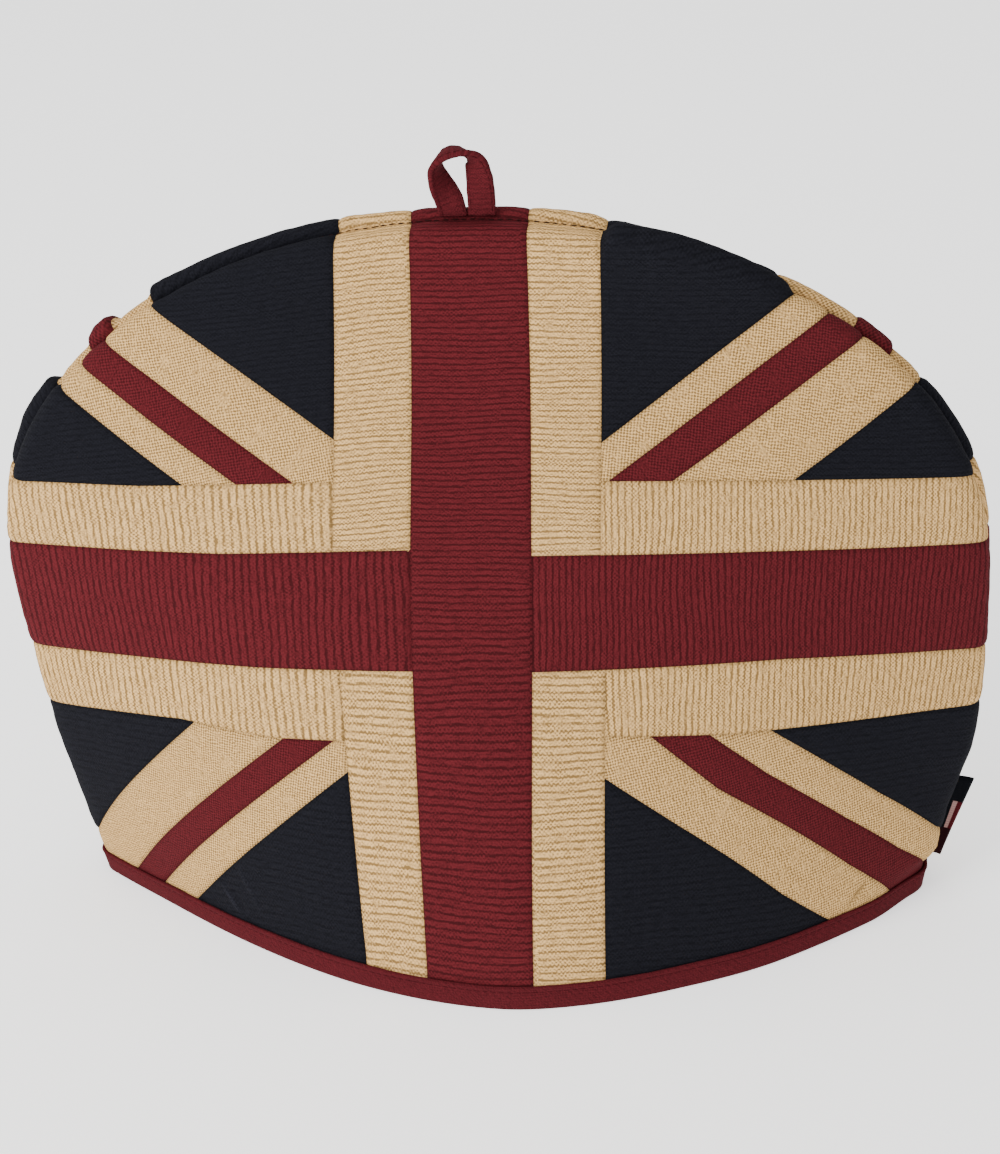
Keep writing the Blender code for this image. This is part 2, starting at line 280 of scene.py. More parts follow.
    def bulge(self, x: Array, z: Array) -> Array:
        """Return the depth of the panel's crown past its padded edge."""
        crest, half = self.level(z, "crest"), self.half_width(z) + 1e-9
        side = np.where(x < crest, (crest - x) / (half + crest), (x - crest) / (half - crest))
        return self.level(z, "bulge") * (1 - np.clip(side, 0, 1) ** self.level(z, "fullness"))

    def squeeze(self, z: Array) -> Array:
        """Return 1 at the hem, falling to 0 where the padding has its full thickness."""
        return 1 - soft_step(z, self.hem_lift, self.hem_lift + self.squeeze_height)

    def outer_depth(self, x: Array, z: Array) -> Array:
        """Return the depth of the outer cloth inside the rounded edge."""
        return 2 * self.nose + self.bulge(x, z) - self.hem_press * self.squeeze(z)

    def settled(self, points: Array) -> Array:
        """Move points of the even shape to where the hem of the worn cosy has settled.

        Args:
            points: places (x, y, z), in rows.

        Returns:
            The moved places.
        """
        x, z = points[:, 0], points[:, 2]
        low = 1 - soft_step(z, 0, self.slump_height)
        forward = smooth_steps(x, *columns(self.slump))
        moved = points.copy()
        drawn_in = soft_step(x, self.hem_half - self.corner_width, self.hem_half)
        moved[:, 0] -= self.corner_slump * drawn_in * (1 - soft_step(z, *self.corner_heights))
        moved[:, 1] -= forward * low
        return moved

    def inner_depth(self, x: Array, z: Array) -> Array:
        """Return the depth of the lining, never past the seam's plane."""
        probe = 0.5 * MM
        slope_x = (self.bulge(x + probe, z) - self.bulge(x - probe, z)) / (2 * probe)
        slope_z = (self.bulge(x, z + probe) - self.bulge(x, z - probe)) / (2 * probe)
        wall = self.pad + (self.hem_pad - self.pad) * self.squeeze(z)
        lean = np.sqrt(1 + slope_x**2 + slope_z**2)
        return np.maximum(2 * self.nose + self.bulge(x, z) - wall * lean, self.half_gap)


class Lift(NamedTuple):
    """How much higher the panel's sides lie on the flat pattern than its middle."""

    share: float
    rise: float


@dataclass(frozen=True)
class FlatCut:
    """Where a point of the domed panel lies on the flat pattern that it was cut to."""

    shape: CosyShape
    band_height: float = 0.143
    samples: int = 24
    lifts: tuple[Lift, ...] = (
        Lift(0.00, 0.025),
        Lift(0.20, 0.019),
        Lift(0.40, 0.017),
        Lift(0.60, 0.016),
        Lift(0.80, 0.006),
        Lift(0.92, 0.003),
        Lift(1.00, 0.000),
    )

    def place(self, x: Array, z: Array) -> Array:
        """Unroll points of the panel.

        Args:
            x: places across the panel, seen from the front.
            z: heights.

        Returns:
            Points (u, v) measured from the middle of the flag's cross.
        """
        shape = self.shape
        nodes, weights = np.polynomial.legendre.leggauss(self.samples)
        across = x[..., None] * 0.5 * (nodes + 1)
        level = np.broadcast_to(z[..., None], across.shape)
        probe = 0.2 * MM
        slope = (shape.bulge(across + probe, level) - shape.bulge(across - probe, level)) / (2 * probe)
        u = 0.5 * x * (np.sqrt(1 + slope**2) * weights).sum(axis=-1)
        heights = np.linspace(0, shape.height, 400)
        depths = shape.bulge(np.zeros_like(heights), heights)
        climb = np.concatenate([[0], np.cumsum(np.hypot(np.diff(heights), np.diff(depths)))])
        shares, rises = columns(self.lifts)
        rise = smooth_steps(z, shares * shape.height, rises)
        v = np.interp(z, heights, climb) - self.band_height
        return np.stack([u, v + rise * (x / (shape.half_width(z) + 1e-9)) ** 2], axis=-1)


# ---------------------------------------------------------------------------
# Patchwork
# ---------------------------------------------------------------------------


class Patch(Enum):
    """Cloths of a panel, in the order of its material slots."""

    CREAM = 0
    RED = 1
    NAVY = 2
    CREAM_BIAS = 3
    RED_BIAS = 4
    LINING = 5


class Knot(NamedTuple):
    """A point on the flat pattern, in millimetres from the middle of the cross."""

    across: float
    up: float


@dataclass(frozen=True)
class Seam:
    """A sewn line between patches, as a chain of straight stretches.

    Attributes:
        name: the seam's name.
        knots: its ends and bends, upwards for an upright seam and outwards for others.
        within: names of seams that stop it, each with the side on which it lies.
        upright: whether the seam runs up the panel.
    """

    name: str
    knots: tuple[Knot, ...]
    within: tuple[tuple[str, int], ...] = ()
    upright: bool = False

    def points(self) -> Array:
        """Return the knots in metres."""
        return np.array(self.knots, float) * MM

    def side(self, u: Array, v: Array) -> Array:
        """Return how far points lie to the right of the seam, or above it."""
        points = self.points()
        axis = 1 if self.upright else 0
        order = np.argsort(points[:, axis])
        along, level = points[order, axis], points[order, 1 - axis]
        here, there = (v, u) if self.upright else (u, v)
        inside = np.interp(here, along, level)
        first = (level[1] - level[0]) / (along[1] - along[0])
        last = (level[-1] - level[-2]) / (along[-1] - along[-2])
        beyond = np.minimum(here - along[0], 0) * first + np.maximum(here - along[-1], 0) * last
        return there - inside - beyond

    def turned(self, drift: float, slides: dict[str, Knot]) -> "Seam":
        """Return the seam on a panel that faces the other way.

        Args:
            drift: how far the upper end of a seam leans, for each metre up.
            slides: how far single seams are moved, by their name on this panel.

        Returns:
            The seam with its names swapped to match.
        """
        move = slides.get(self.name, Knot(0, 0))
        knots = tuple(Knot(-k.across + drift * max(k.up, 0) * MM + move.across, k.up + move.up)
                      for k in self.knots)
        return Seam(mirrored_name(self.name), knots,
                    tuple((mirrored_name(n), -s if n in UPRIGHT_NAMES else s) for n, s in self.within),
                    self.upright)


def mirrored_name(name: str) -> str:
    """Swap left and right in a seam's name."""
    return name.replace("left", "?").replace("right", "left").replace("?", "right")


UPRIGHT_NAMES = (
    "red_left", "red_right", "cream_left_high", "cream_left_low", "cream_right_high", "cream_right_low",
)
CORNERS = {
    "high_left": (("cream_left_high", -1), ("band_high_left", 1)),
    "high_right": (("cream_right_high", 1), ("band_high_right", 1)),
    "low_left": (("cream_left_low", -1), ("band_low_left", -1)),
    "low_right": (("cream_right_low", 1), ("band_low_right", -1)),
}
LEFT_OF_RED, RIGHT_OF_RED = (("red_left", -1),), (("red_right", 1),)
CROSS_SEAMS = (
    Seam("red_left", (Knot(-20.6, -165), Knot(-21.2, 0), Knot(-17.8, 160)), upright=True),
    Seam("red_right", (Knot(17.7, -165), Knot(21.2, 0), Knot(21.6, 160)), upright=True),
    Seam("red_band_high_left", (Knot(-21.2, 22.3), Knot(-90, 20.9), Knot(-210, 23.4)), LEFT_OF_RED),
    Seam("red_band_high_right", (Knot(21.2, 20.3), Knot(100, 21.7), Knot(210, 22.2)), RIGHT_OF_RED),
    Seam("red_band_low_left", (Knot(-21.2, -20.4), Knot(-80, -22.1), Knot(-210, -21.6)), LEFT_OF_RED),
    Seam("red_band_low_right", (Knot(21.2, -20.3), Knot(110, -19.4), Knot(210, -22.0)), RIGHT_OF_RED),
    Seam("cream_left_high", (Knot(-48.4, 21.8), Knot(-43.5, 160)), (("red_band_high_left", 1),), True),
    Seam("cream_left_low", (Knot(-43.9, -165), Knot(-48.2, -21.2)), (("red_band_low_left", -1),), True),
    Seam("cream_right_high", (Knot(44.8, 20.7), Knot(46.5, 160)), (("red_band_high_right", 1),), True),
    Seam("cream_right_low", (Knot(43.6, -165), Knot(45.8, -20.1)), (("red_band_low_right", -1),), True),
    Seam("band_high_left", (Knot(-47.6, 46.0), Knot(-120, 46.0), Knot(-210, 49.6)),
         (("cream_left_high", -1),)),
    Seam("band_high_right", (Knot(45.1, 46.1), Knot(210, 48.4)), (("cream_right_high", 1),)),
    Seam("band_low_left", (Knot(-47.4, -47.4), Knot(-78, -48.9), Knot(-116, -45.7), Knot(-210, -47.6)),
         (("cream_left_low", -1),)),
    Seam("band_low_right", (Knot(45.4, -44.0), Knot(92, -46.3), Knot(210, -44.4)),
         (("cream_right_low", 1),)),
)
DIAGONALS = {
    "high_left": (
        (Knot(-47.0, 60.7), Knot(-172, 151.9)),
        (Knot(-61.9, 46.0), Knot(-185, 134.9)),
        (Knot(-83.1, 46.0), Knot(-197, 128.0)),
        (Knot(-103.3, 46.0), Knot(-207, 121.1)),
    ),
    "high_right": (
        (Knot(45.3, 59.1), Knot(165, 151.6)),
        (Knot(47.5, 46.1), Knot(182, 148.1)),
        (Knot(69.3, 46.4), Knot(196, 139.8)),
        (Knot(110.5, 46.9), Knot(206, 118.1)),
    ),
    "low_left": (
        (Knot(-109.6, -46.2), Knot(-217, -131.1)),
        (Knot(-72.0, -48.6), Knot(-200, -145.9)),
        (Knot(-51.8, -47.6), Knot(-190, -154.6)),
        (Knot(-46.8, -58.7), Knot(-175, -162.5)),
    ),
    "low_right": (
        (Knot(45.2, -58.9), Knot(112, -108.2), Knot(185, -153.0)),
        (Knot(61.2, -44.7), Knot(85.6, -66.0), Knot(140, -101.6), Knot(205, -139.0)),
        (Knot(82.4, -45.8), Knot(104, -62.3), Knot(136, -83.4), Knot(162, -98.6), Knot(212, -122.6)),
        (Knot(104.8, -46.1), Knot(150, -76.2), Knot(222, -118.6)),
    ),
}
SEAMS = CROSS_SEAMS + tuple(
    Seam(f"{corner}_{index}", knots, CORNERS[corner])
    for corner, chains in DIAGONALS.items() for index, knots in enumerate(chains)
)
BACK_SLIDES = {
    "high_right_0": Knot(-4.0, -5.0),
    "high_right_1": Knot(-6.6, -8.2),
    "high_right_2": Knot(-5.0, -6.2),
    "high_right_3": Knot(-1.4, -1.8),
    "high_left_0": Knot(-4.3, 5.5),
    "high_left_2": Knot(1.7, -2.1),
    "high_left_3": Knot(2.7, -3.5),
}
STRIPES = {1: Patch.CREAM_BIAS, 2: Patch.RED_BIAS, 3: Patch.CREAM_BIAS}
UPRIGHT = 0.5 * math.pi


@dataclass(frozen=True)
class Crease:
    """A soft fold on the flat pattern, in millimetres.

    Attributes:
        start: one end of the fold.
        end: its other end.
        rise: the height of the fold, positive for a ridge.
        width: how far it reaches to either side.
        fold_light_and_shade: painted sheen that makes the cloth paler along the fold, or painted shade that
            darkens it where below 0, as a share of the shade in a seam.
    """

    start: Knot
    end: Knot
    rise: float
    width: float
    fold_light_and_shade: float = 0.0

    def ends(self) -> Array:
        """Return both ends in metres."""
        return np.array((self.start, self.end)) * MM

    def profile(self, u: Array, v: Array, spread: float, tip: float) -> Array:
        """Return 1 along the fold, fading out beside it and at its ends.

        Args:
            u: places across the flat pattern.
            v: places up it.
            spread: the share of the fold's width that it fades over.
            tip: the share of its length at which the tapering stops.
        """
        off, share = segment_distance(u, v, *self.ends())
        taper = np.sin(math.pi * np.clip(share, tip, 1 - tip)) ** 0.6
        return fading(off, spread * self.width * MM) * taper


# The last number of a crease paints sheen along its ridge, or shade in its trough where below 0.
FRONT_CREASES = (
    Crease(Knot(140, -117), Knot(149, -108), -0.65, 1.0, -1.3),
    Crease(Knot(143, -119), Knot(152, -110), 0.30, 2.0),
    Crease(Knot(135, -117), Knot(144, -107), 0.30, 3.0),
    Crease(Knot(-109, -112), Knot(-102, -123), 0.50, 0.9, 2.6),
    Crease(Knot(-105, -110), Knot(-98, -123), -0.40, 1.2),
    Crease(Knot(-99, -103), Knot(-91, -120), 0.35, 1.3, 0.9),
    Crease(Knot(62, 128), Knot(66, 112), 0.25, 2.0),
    Crease(Knot(-30, 140), Knot(-31, 128), -0.25, 2.0),
)


@dataclass(frozen=True)
class Patchwork:
    """The flag patchwork of one panel: its seams, its patches and their relief.

    Attributes:
        seams: the sewn lines between the patches.
        creases: the soft folds in the cloth.
        ditch_depth: how deep the cloth dips at a seam.
        ditch_width: how far the ditch reaches.
        shade_width: how far the shade in a seam reaches.
        puff_height: how far the padding swells between the seams.
        puff_width: how far from a seam the padding has swollen.
        step_height: the rise of the seam allowance beneath one side of a seam.
        step_width: how wide that allowance is.
        step_foot: how far from the seam the allowance has its full height.
        step_fade: how softly it ends.
        high_pitch: the pitch of level ribs above the middle.
        low_pitches: their pitch below it: left of the cross, in it and right of it.
        left_pitch: the pitch of upright ribs on the left.
        right_pitch: their pitch on the right.
        slant: the slope of the ribs at the upper left.
        bias_pitch: the pitch of the cloths that are cut aslant.
        lump_height: how uneven the padding is.
    """

    seams: tuple[Seam, ...]
    creases: tuple[Crease, ...] = ()
    ditch_depth: float = 0.42 * MM
    ditch_width: float = 0.75 * MM
    shade_width: float = 0.7 * MM
    puff_height: float = 0.30 * MM
    puff_width: float = 4.5 * MM
    step_height: float = 0.18 * MM
    step_width: float = 6.0 * MM
    step_foot: float = 1.5 * MM
    step_fade: float = 1.2 * MM
    high_pitch: float = 2.06 * MM
    low_pitches: tuple[float, float, float] = (3.08 * MM, 2.89 * MM, 2.68 * MM)
    left_pitch: float = 3.10 * MM
    right_pitch: float = 2.26 * MM
    slant: float = 0.09
    bias_pitch: float = 2.4 * MM
    lump_height: float = 0.55 * MM

    def named(self, name: str) -> Seam:
        """Return the seam with that name."""
        return next(seam for seam in self.seams if seam.name == name)

    def inside(self, limits: tuple[tuple[str, int], ...], u: Array, v: Array) -> Array:
        """Return where points lie on the given sides of some seams."""
        held = np.ones(np.shape(u), bool)
        for name, way in limits:
            held &= way * self.named(name).side(u, v) > 0
        return held

    def bias_angle(self, corner: str) -> float:
        """Return how far the stripes of a corner turn from level, in radians."""
        points = self.named(corner + "_1").points()
        reach = points[-1] - points[0]
        return math.atan(reach[1] / reach[0])

    def classify(self, u: Array, v: Array) -> tuple[Array, Array]:
        """Sort points into patches.

        Args:
            u: places across the flat pattern.
            v: places up it.

        Returns:
            The patch number of each point, and the turn of its grain from level.
        """
        patch = np.full(np.shape(u), Patch.NAVY.value)
        grain = np.full(np.shape(u), UPRIGHT)

        def beyond(name: str, way: int = 1) -> Array:
            return self.inside(((name, way),), u, v)

        def lay(here: Array, kind: Patch, turn: float) -> None:
            patch[here], grain[here] = kind.value, turn

        for corner, limits in CORNERS.items():
            held = self.inside(limits, u, v)
            above = sum(beyond(f"{corner}_{k}").astype(int) for k in range(4))
            for count, kind in STRIPES.items():
                lay(held & (above == count), kind, self.bias_angle(corner))
        for hand, way in (("left", -1), ("right", 1)):
            near = beyond(f"red_{hand}", way)
            over, under = beyond(f"red_band_high_{hand}"), beyond(f"red_band_low_{hand}", -1)
            over_out, under_out = (beyond(f"cream_{hand}_{level}", way) for level in ("high", "low"))
            level_cream = (over & over_out & beyond(f"band_high_{hand}", -1)
                           | under & under_out & beyond(f"band_low_{hand}"))
            lay(near & level_cream, Patch.CREAM, 0.0)
            lay(near & beyond(f"red_band_low_{hand}") & beyond(f"red_band_high_{hand}", -1), Patch.RED, 0.0)
            lay(near & (over & ~over_out | under & ~under_out), Patch.CREAM, UPRIGHT)
        lay(beyond("red_left") & beyond("red_right", -1), Patch.RED, UPRIGHT)
        return patch, grain

    def rib_count(self, at: Array, low: float, high: float) -> Array:
        """Count ribs along the cloth where their pitch changes from low to high values."""
        places = np.linspace(-0.25, 0.25, 501)
        pitch = low + (high - low) * soft_step(places, -0.03, 0.03)
        count = np.concatenate([[0], np.cumsum(np.diff(places) / (0.5 * (pitch[1:] + pitch[:-1])))])
        return np.interp(at, places, count)

    def weave_place(self, u: Array, v: Array, grain: Array, home: Array) -> Array:
        """Work out places in the weave, counted in ribs.

        Args:
            u: places across the flat pattern.
            v: places up it.
            grain: the turn of each point's cloth from level.
            home: a point (u, v) inside the patch that each point belongs to.

        Returns:
            Places across and along the ribs.
        """
        upright = np.abs(grain - UPRIGHT) < 1e-6
        level = np.abs(grain) < 1e-6
        along = (u * np.cos(grain) + v * np.sin(grain)) / self.bias_pitch
        across = (v * np.cos(grain) - u * np.sin(grain)) / self.bias_pitch
        strip = np.digitize(home[:, 0], (-20 * MM, 20 * MM))
        lean = np.where((strip == 0) & (home[:, 1] > 0), self.slant * u, 0)
        counts = [self.rib_count(v - lean, pitch, self.high_pitch) for pitch in self.low_pitches]
        along = np.where(upright, np.choose(strip, counts), along)
        along = np.where(level, self.rib_count(u, self.left_pitch, self.right_pitch), along)
        return np.stack([across, along], axis=-1)

    def seam_distance(self, u: Array, v: Array) -> tuple[Array, Array]:
        """Return how far points lie from the nearest seam, and on which side of it."""
        nearest = np.full(np.shape(u), 1.0)
        hand = np.ones(np.shape(u))
        for seam in self.seams:
            points = seam.points()
            for start, end in zip(points, points[1:]):
                away, _ = segment_distance(u, v, start, end)
                closer = away < nearest
                nearest = np.where(closer, away, nearest)
                hand = np.where(closer, np.sign(seam.side(u, v)), hand)
        return nearest, hand

    def relief(self, u: Array, v: Array) -> tuple[Array, Array]:
        """Work out how far the sewn cloth stands proud of the smooth padding.

        Args:
            u: places across the flat pattern.
            v: places up it.

        Returns:
            The height of each point, and a mask that is 1 in the seams, where it paints shade into the
            colour.
        """
        away, hand = self.seam_distance(u, v)
        height = self.puff_height * (1 - fading(away, self.puff_width))
        allowance = (1 - soft_step(away, self.step_width, self.step_width + self.step_fade)) * (hand > 0)
        height += self.step_height * allowance * soft_step(away, 0, self.step_foot)
        height -= self.ditch_depth * fading(away, self.ditch_width)
        for crease in self.creases:
            height += crease.rise * MM * crease.profile(u, v, spread=1.0, tip=0.02)
        lumps = np.array([lump(a, b) for a, b in zip(u.ravel(), v.ravel())]).reshape(np.shape(u))
        return height + self.lump_height * lumps, fading(away, self.shade_width)

    def fold_light_and_shade(self, u: Array, v: Array) -> Array:
        """Return the painted sheen along the creases, which is painted shade where it is below 0."""
        fold_lights = [crease.fold_light_and_shade * crease.profile(u, v, spread=0.8, tip=0.0) for crease in self.creases]
        return sum(fold_lights, np.zeros(np.shape(u)))


def lump(u: float, v: float) -> float:
    """Return the padding's unevenness at a place of the flat pattern."""
    return sway(u * 16, v * 16, 1.7) + 0.3 * sway(u * 55, v * 55, 8.3)


# ---------------------------------------------------------------------------
# Shader effects and finishes
# ---------------------------------------------------------------------------


class NodeBench:
    """Adds nodes to one tree and joins them."""

    def __init__(self, tree: bpy.types.NodeTree) -> None:
        """Work on the given tree."""
        self.tree = tree
        self.column = 0

    def add(self, kind: str, settings: dict | None = None, **inputs: object) -> bpy.types.Node:
        """Add a node.

        Args:
            kind: the node's type.
            settings: properties of the node.
            inputs: values or sockets for its inputs, by name or as in0, in1 and so on.

        Returns:
            The new node.
        """
        node = self.tree.nodes.new(kind)
        node.location = (180 * self.column, 0)
        self.column += 1
        for name, value in (settings or {}).items():
            setattr(node, name, value)
        for name, value in inputs.items():
            index = int(name[2:]) if name[:2] == "in" and name[2:].isdigit() else name.replace("_", " ")
            socket = node.inputs[index]
            if isinstance(value, Socket):
                self.tree.links.new(value, socket)
            else:
                socket.default_value = value
        return node

    def math(self, operation: str, *values: object) -> Socket:
        """Add a math node and return its output."""
        inputs = {f"in{index}": value for index, value in enumerate(values)}
        return self.add("ShaderNodeMath", {"operation": operation}, **inputs).outputs[0]

    def plus(self, first: object, second: object) -> Socket:
        """Add two values."""
        return self.math("ADD", first, second)

    def times(self, first: object, second: object) -> Socket:
        """Multiply two values."""
        return self.math("MULTIPLY", first, second)

    def ramp(self, value: object, slope: object, start: object) -> Socket:
        """Multiply a value by a slope and add a start to it."""
        return self.math("MULTIPLY_ADD", value, slope, start)

    def wave(self, value: object) -> Socket:
        """Return the cosine of a value."""
        return self.math("COSINE", value)

    def centred(self, value: object) -> Socket:
        """Move a value between 0 and 1 to between -0.5 and 0.5."""
        return self.math("SUBTRACT", value, 0.5)

    def grey(self, value: Socket) -> Socket:
        """Make a grey of a value."""
        return self.add("ShaderNodeCombineColor", Red=value, Green=value, Blue=value).outputs[0]

    def group(self, tree: bpy.types.NodeTree, **inputs: object) -> bpy.types.Node:
        """Add a node that stands for a group."""
        return self.add("ShaderNodeGroup", {"node_tree": tree}, **inputs)

    def mix(self, share: object, first: object, second: object, blend: str = "MIX") -> Socket:
        """Mix two colours and return the result."""
        node = self.add("ShaderNodeMix", {"data_type": "RGBA", "blend_type": blend})
        for index, value in ((0, share), (6, first), (7, second)):
            if isinstance(value, Socket):
                self.tree.links.new(value, node.inputs[index])
            else:
                node.inputs[index].default_value = value
        return node.outputs[2]

    def noise(self, vector: Socket, scale: float, detail: float) -> Socket:
        """Add a noise texture and return its value."""
        node = self.add("ShaderNodeTexNoise", Vector=vector, Scale=scale, Detail=detail)
        return node.outputs["Fac"]

    def scaled(self, vector: Socket, across: float, along: float) -> Socket:
        """Scale a place in the weave across and along the ribs."""
        node = self.add("ShaderNodeVectorMath", {"operation": "MULTIPLY"}, in0=vector,
                        in1=(across, along, 1.0))
        return node.outputs[0]


def new_group(name: str, inputs: Iterable[tuple[str, str, object]],
              outputs: Iterable[tuple[str, str]]) -> tuple[NodeBench, bpy.types.Node, bpy.types.Node]:
    """Start a shader node group.

    Args:
        name: the group's name.
        inputs: name, socket type and default of each input.
        outputs: name and socket type of each output.

    Returns:
        A bench on the group, its input node and its output node.
    """
    tree = bpy.data.node_groups.new(name, "ShaderNodeTree")
    for label, kind, default in inputs:
        socket = tree.interface.new_socket(label, in_out="INPUT", socket_type=kind)
        if default is not None:
            socket.default_value = default
    for label, kind in outputs:
        tree.interface.new_socket(label, in_out="OUTPUT", socket_type=kind)
    bench = NodeBench(tree)
    return bench, bench.add("NodeGroupInput"), bench.add("NodeGroupOutput")


FLOAT, COLOUR, VECTOR = "NodeSocketFloat", "NodeSocketColor", "NodeSocketVector"


class Effects:
    """Shader effects that several cloths share, each built once."""

    def __init__(self) -> None:
        """Build the groups."""
        self.canvas = self.build_canvas()
        # The mottle group also paints shade in the seams and sheen along the creases.
        self.mottle = self.build_mottle_and_shade()

    def build_canvas(self) -> bpy.types.NodeTree:
        """Build woven canvas: ribs across the strip over a fine plain weave, as a value that paints
        highlight on the ribs and threads and shade between them, with the yarn's own slubs and specks.
        """
        bench, start, end = new_group(
            "woven_canvas",
            (("Place", VECTOR, None), ("Ribs", FLOAT, 1.0), ("Threads", FLOAT, 0.5),
             ("Thread Rate", FLOAT, 1.6), ("Grit", FLOAT, 2.0), ("Seed", FLOAT, 0.0)),
            (("Value", FLOAT), ("Height", FLOAT)),
        )
        place, seed = start.outputs["Place"], start.outputs["Seed"]
        shift = bench.add("ShaderNodeCombineXYZ", X=seed, Y=seed).outputs[0]
        seeded = bench.add("ShaderNodeVectorMath", {"operation": "ADD"}, in0=place, in1=shift).outputs[0]
        across, along = bench.add("ShaderNodeSeparateXYZ", Vector=place).outputs[:2]

        def patchy(rate_across: float, rate_along: float, detail: float) -> Socket:
            return bench.noise(bench.scaled(seeded, rate_across, rate_along), 1.0, detail)

        drift = bench.times(patchy(0.06, 0.07, 1.0), 1.7)
        wander = bench.times(patchy(0.7, 1.3, 1.0), 0.42)
        bent = bench.plus(bench.plus(along, drift), wander)
        broad = bench.wave(bench.times(bent, 2 * math.pi))
        narrow = bench.wave(bench.times(bent, 4 * math.pi))
        rib = bench.times(bench.ramp(narrow, -0.50, bench.times(broad, -1.0)), start.outputs["Ribs"])
        rib = bench.times(rib, bench.ramp(patchy(0.45, 0.40, 2.0), 3.2, -0.7))
        rate = bench.times(start.outputs["Thread Rate"], 2 * math.pi)
        warp = bench.wave(bench.times(bench.plus(across, wander), rate))
        weft = bench.wave(bench.times(bent, rate))
        thread = bench.times(bench.times(warp, weft), start.outputs["Threads"])
        thread = bench.times(thread, bench.ramp(patchy(0.30, 0.42, 1.0), 3.4, -0.8))
        slub, speck = patchy(0.7, 4.4, 2.0), patchy(3.4, 3.4, 1.0)
        rough = bench.times(bench.plus(bench.centred(slub), bench.centred(speck)), start.outputs["Grit"])
        value = bench.plus(bench.plus(rib, thread), rough)
        bench.tree.links.new(bench.ramp(value, 0.5, 0.5), end.inputs["Value"])
        bench.tree.links.new(value, end.inputs["Height"])
        return bench.tree

    def build_mottle_and_shade(self) -> bpy.types.NodeTree:
        """Build the slow change of colour over washed cloth, and the painted shade in its seams and painted
        sheen along its creases.
        """
        bench, start, end = new_group(
            "mottle_with_painted_seam_shade",
            (("Colour", COLOUR, (1, 1, 1, 1)), ("Amount", FLOAT, 0.1), ("Seam", FLOAT, 0.0),
             ("Seam Shade", FLOAT, 0.5)),
            (("Colour", COLOUR),),
        )
        place = bench.add("ShaderNodeTexCoord").outputs["Object"]
        broad, fine = bench.noise(place, 22.0, 3.0), bench.noise(place, 240.0, 2.0)
        drift = bench.plus(bench.centred(broad), bench.times(bench.centred(fine), 0.5))
        gain = bench.ramp(drift, start.outputs["Amount"], 1.0)
        # Painted shade in the seams; painted sheen where the mask is below 0.
        shade = bench.times(start.outputs["Seam"], start.outputs["Seam Shade"])
        gain = bench.times(gain, bench.math("SUBTRACT", 1.0, shade))
        colour = bench.mix(1.0, start.outputs["Colour"], bench.grey(gain), "MULTIPLY")
        bench.tree.links.new(colour, end.inputs["Colour"])
        return bench.tree


def start_cloth(name: str) -> tuple[Material, NodeBench, Socket]:
    """Start a cloth's material.

    Args:
        name: the material's name.

    Returns:
        The material, a bench on its empty tree, and the place in the weave.
    """
    material = bpy.data.materials.new(name)
    material.use_nodes = True
    material.node_tree.nodes.clear()
    bench = NodeBench(material.node_tree)
    return material, bench, bench.add("ShaderNodeUVMap", {"uv_map": "Weave"}).outputs[0]


def finish_cloth(bench: NodeBench, colour: Socket, height: Socket,
                 relief: tuple[float, float], roughness: float, shine: float) -> None:
    """Finish a cloth's material with its relief and its surface.

    Args:
        bench: the bench on the material's tree.
        colour: the cloth's colour.
        height: the height of its weave.
        relief: the strength and the depth of the relief.
        roughness: the surface's roughness.
        shine: how much it mirrors.
    """
    bump = bench.add("ShaderNodeBump", Strength=relief[0], Distance=relief[1], Height=height)
    shader = bench.add("ShaderNodeBsdfPrincipled", Base_Color=colour, Roughness=roughness,
                       Normal=bump.outputs[0], Specular_IOR_Level=shine)
    bench.add("ShaderNodeOutputMaterial", Surface=shader.outputs[0])


@dataclass(frozen=True)
class CanvasFinish:
    """A woven cloth: its colours, its weave and how it takes the light."""

    name: str
    # light and dark: painted highlight on the ribs and threads, and painted shade between them.
    light: Colour
    dark: Colour
    ribs: float
    threads: float
    mottle: float = 0.10
    seam_shade: float = 0.35
    roughness: float = 0.95
    shine: float = 0.06
    bump: float = 0.35
    weave_depth: float = 0.2 * MM
    grit: float = 3.0
    thread_rate: float = 1.6
    seed: float = 0.0

    def build(self, effects: Effects) -> Material:
        """Make the material."""
        material, bench, place = start_cloth(self.name)
        canvas = bench.group(effects.canvas, Place=place, Ribs=self.ribs, Threads=self.threads,
                             Thread_Rate=self.thread_rate, Grit=self.grit, Seed=self.seed)
        # The weave's value paints highlight on the ribs and shade between them.
        colour = bench.mix(canvas.outputs["Value"], (*self.dark, 1), (*self.light, 1))
        # The seam mask paints shade in the seams and the valley, and sheen along the creases.
        seam = bench.add("ShaderNodeAttribute", {"attribute_name": "seam"}).outputs["Fac"]
        washed = bench.group(effects.mottle, Colour=colour, Amount=self.mottle, Seam=seam,
                             Seam_Shade=self.seam_shade)
        finish_cloth(bench, washed.outputs[0], canvas.outputs["Height"], (self.bump, self.weave_depth),
                     self.roughness, self.shine)
        return material


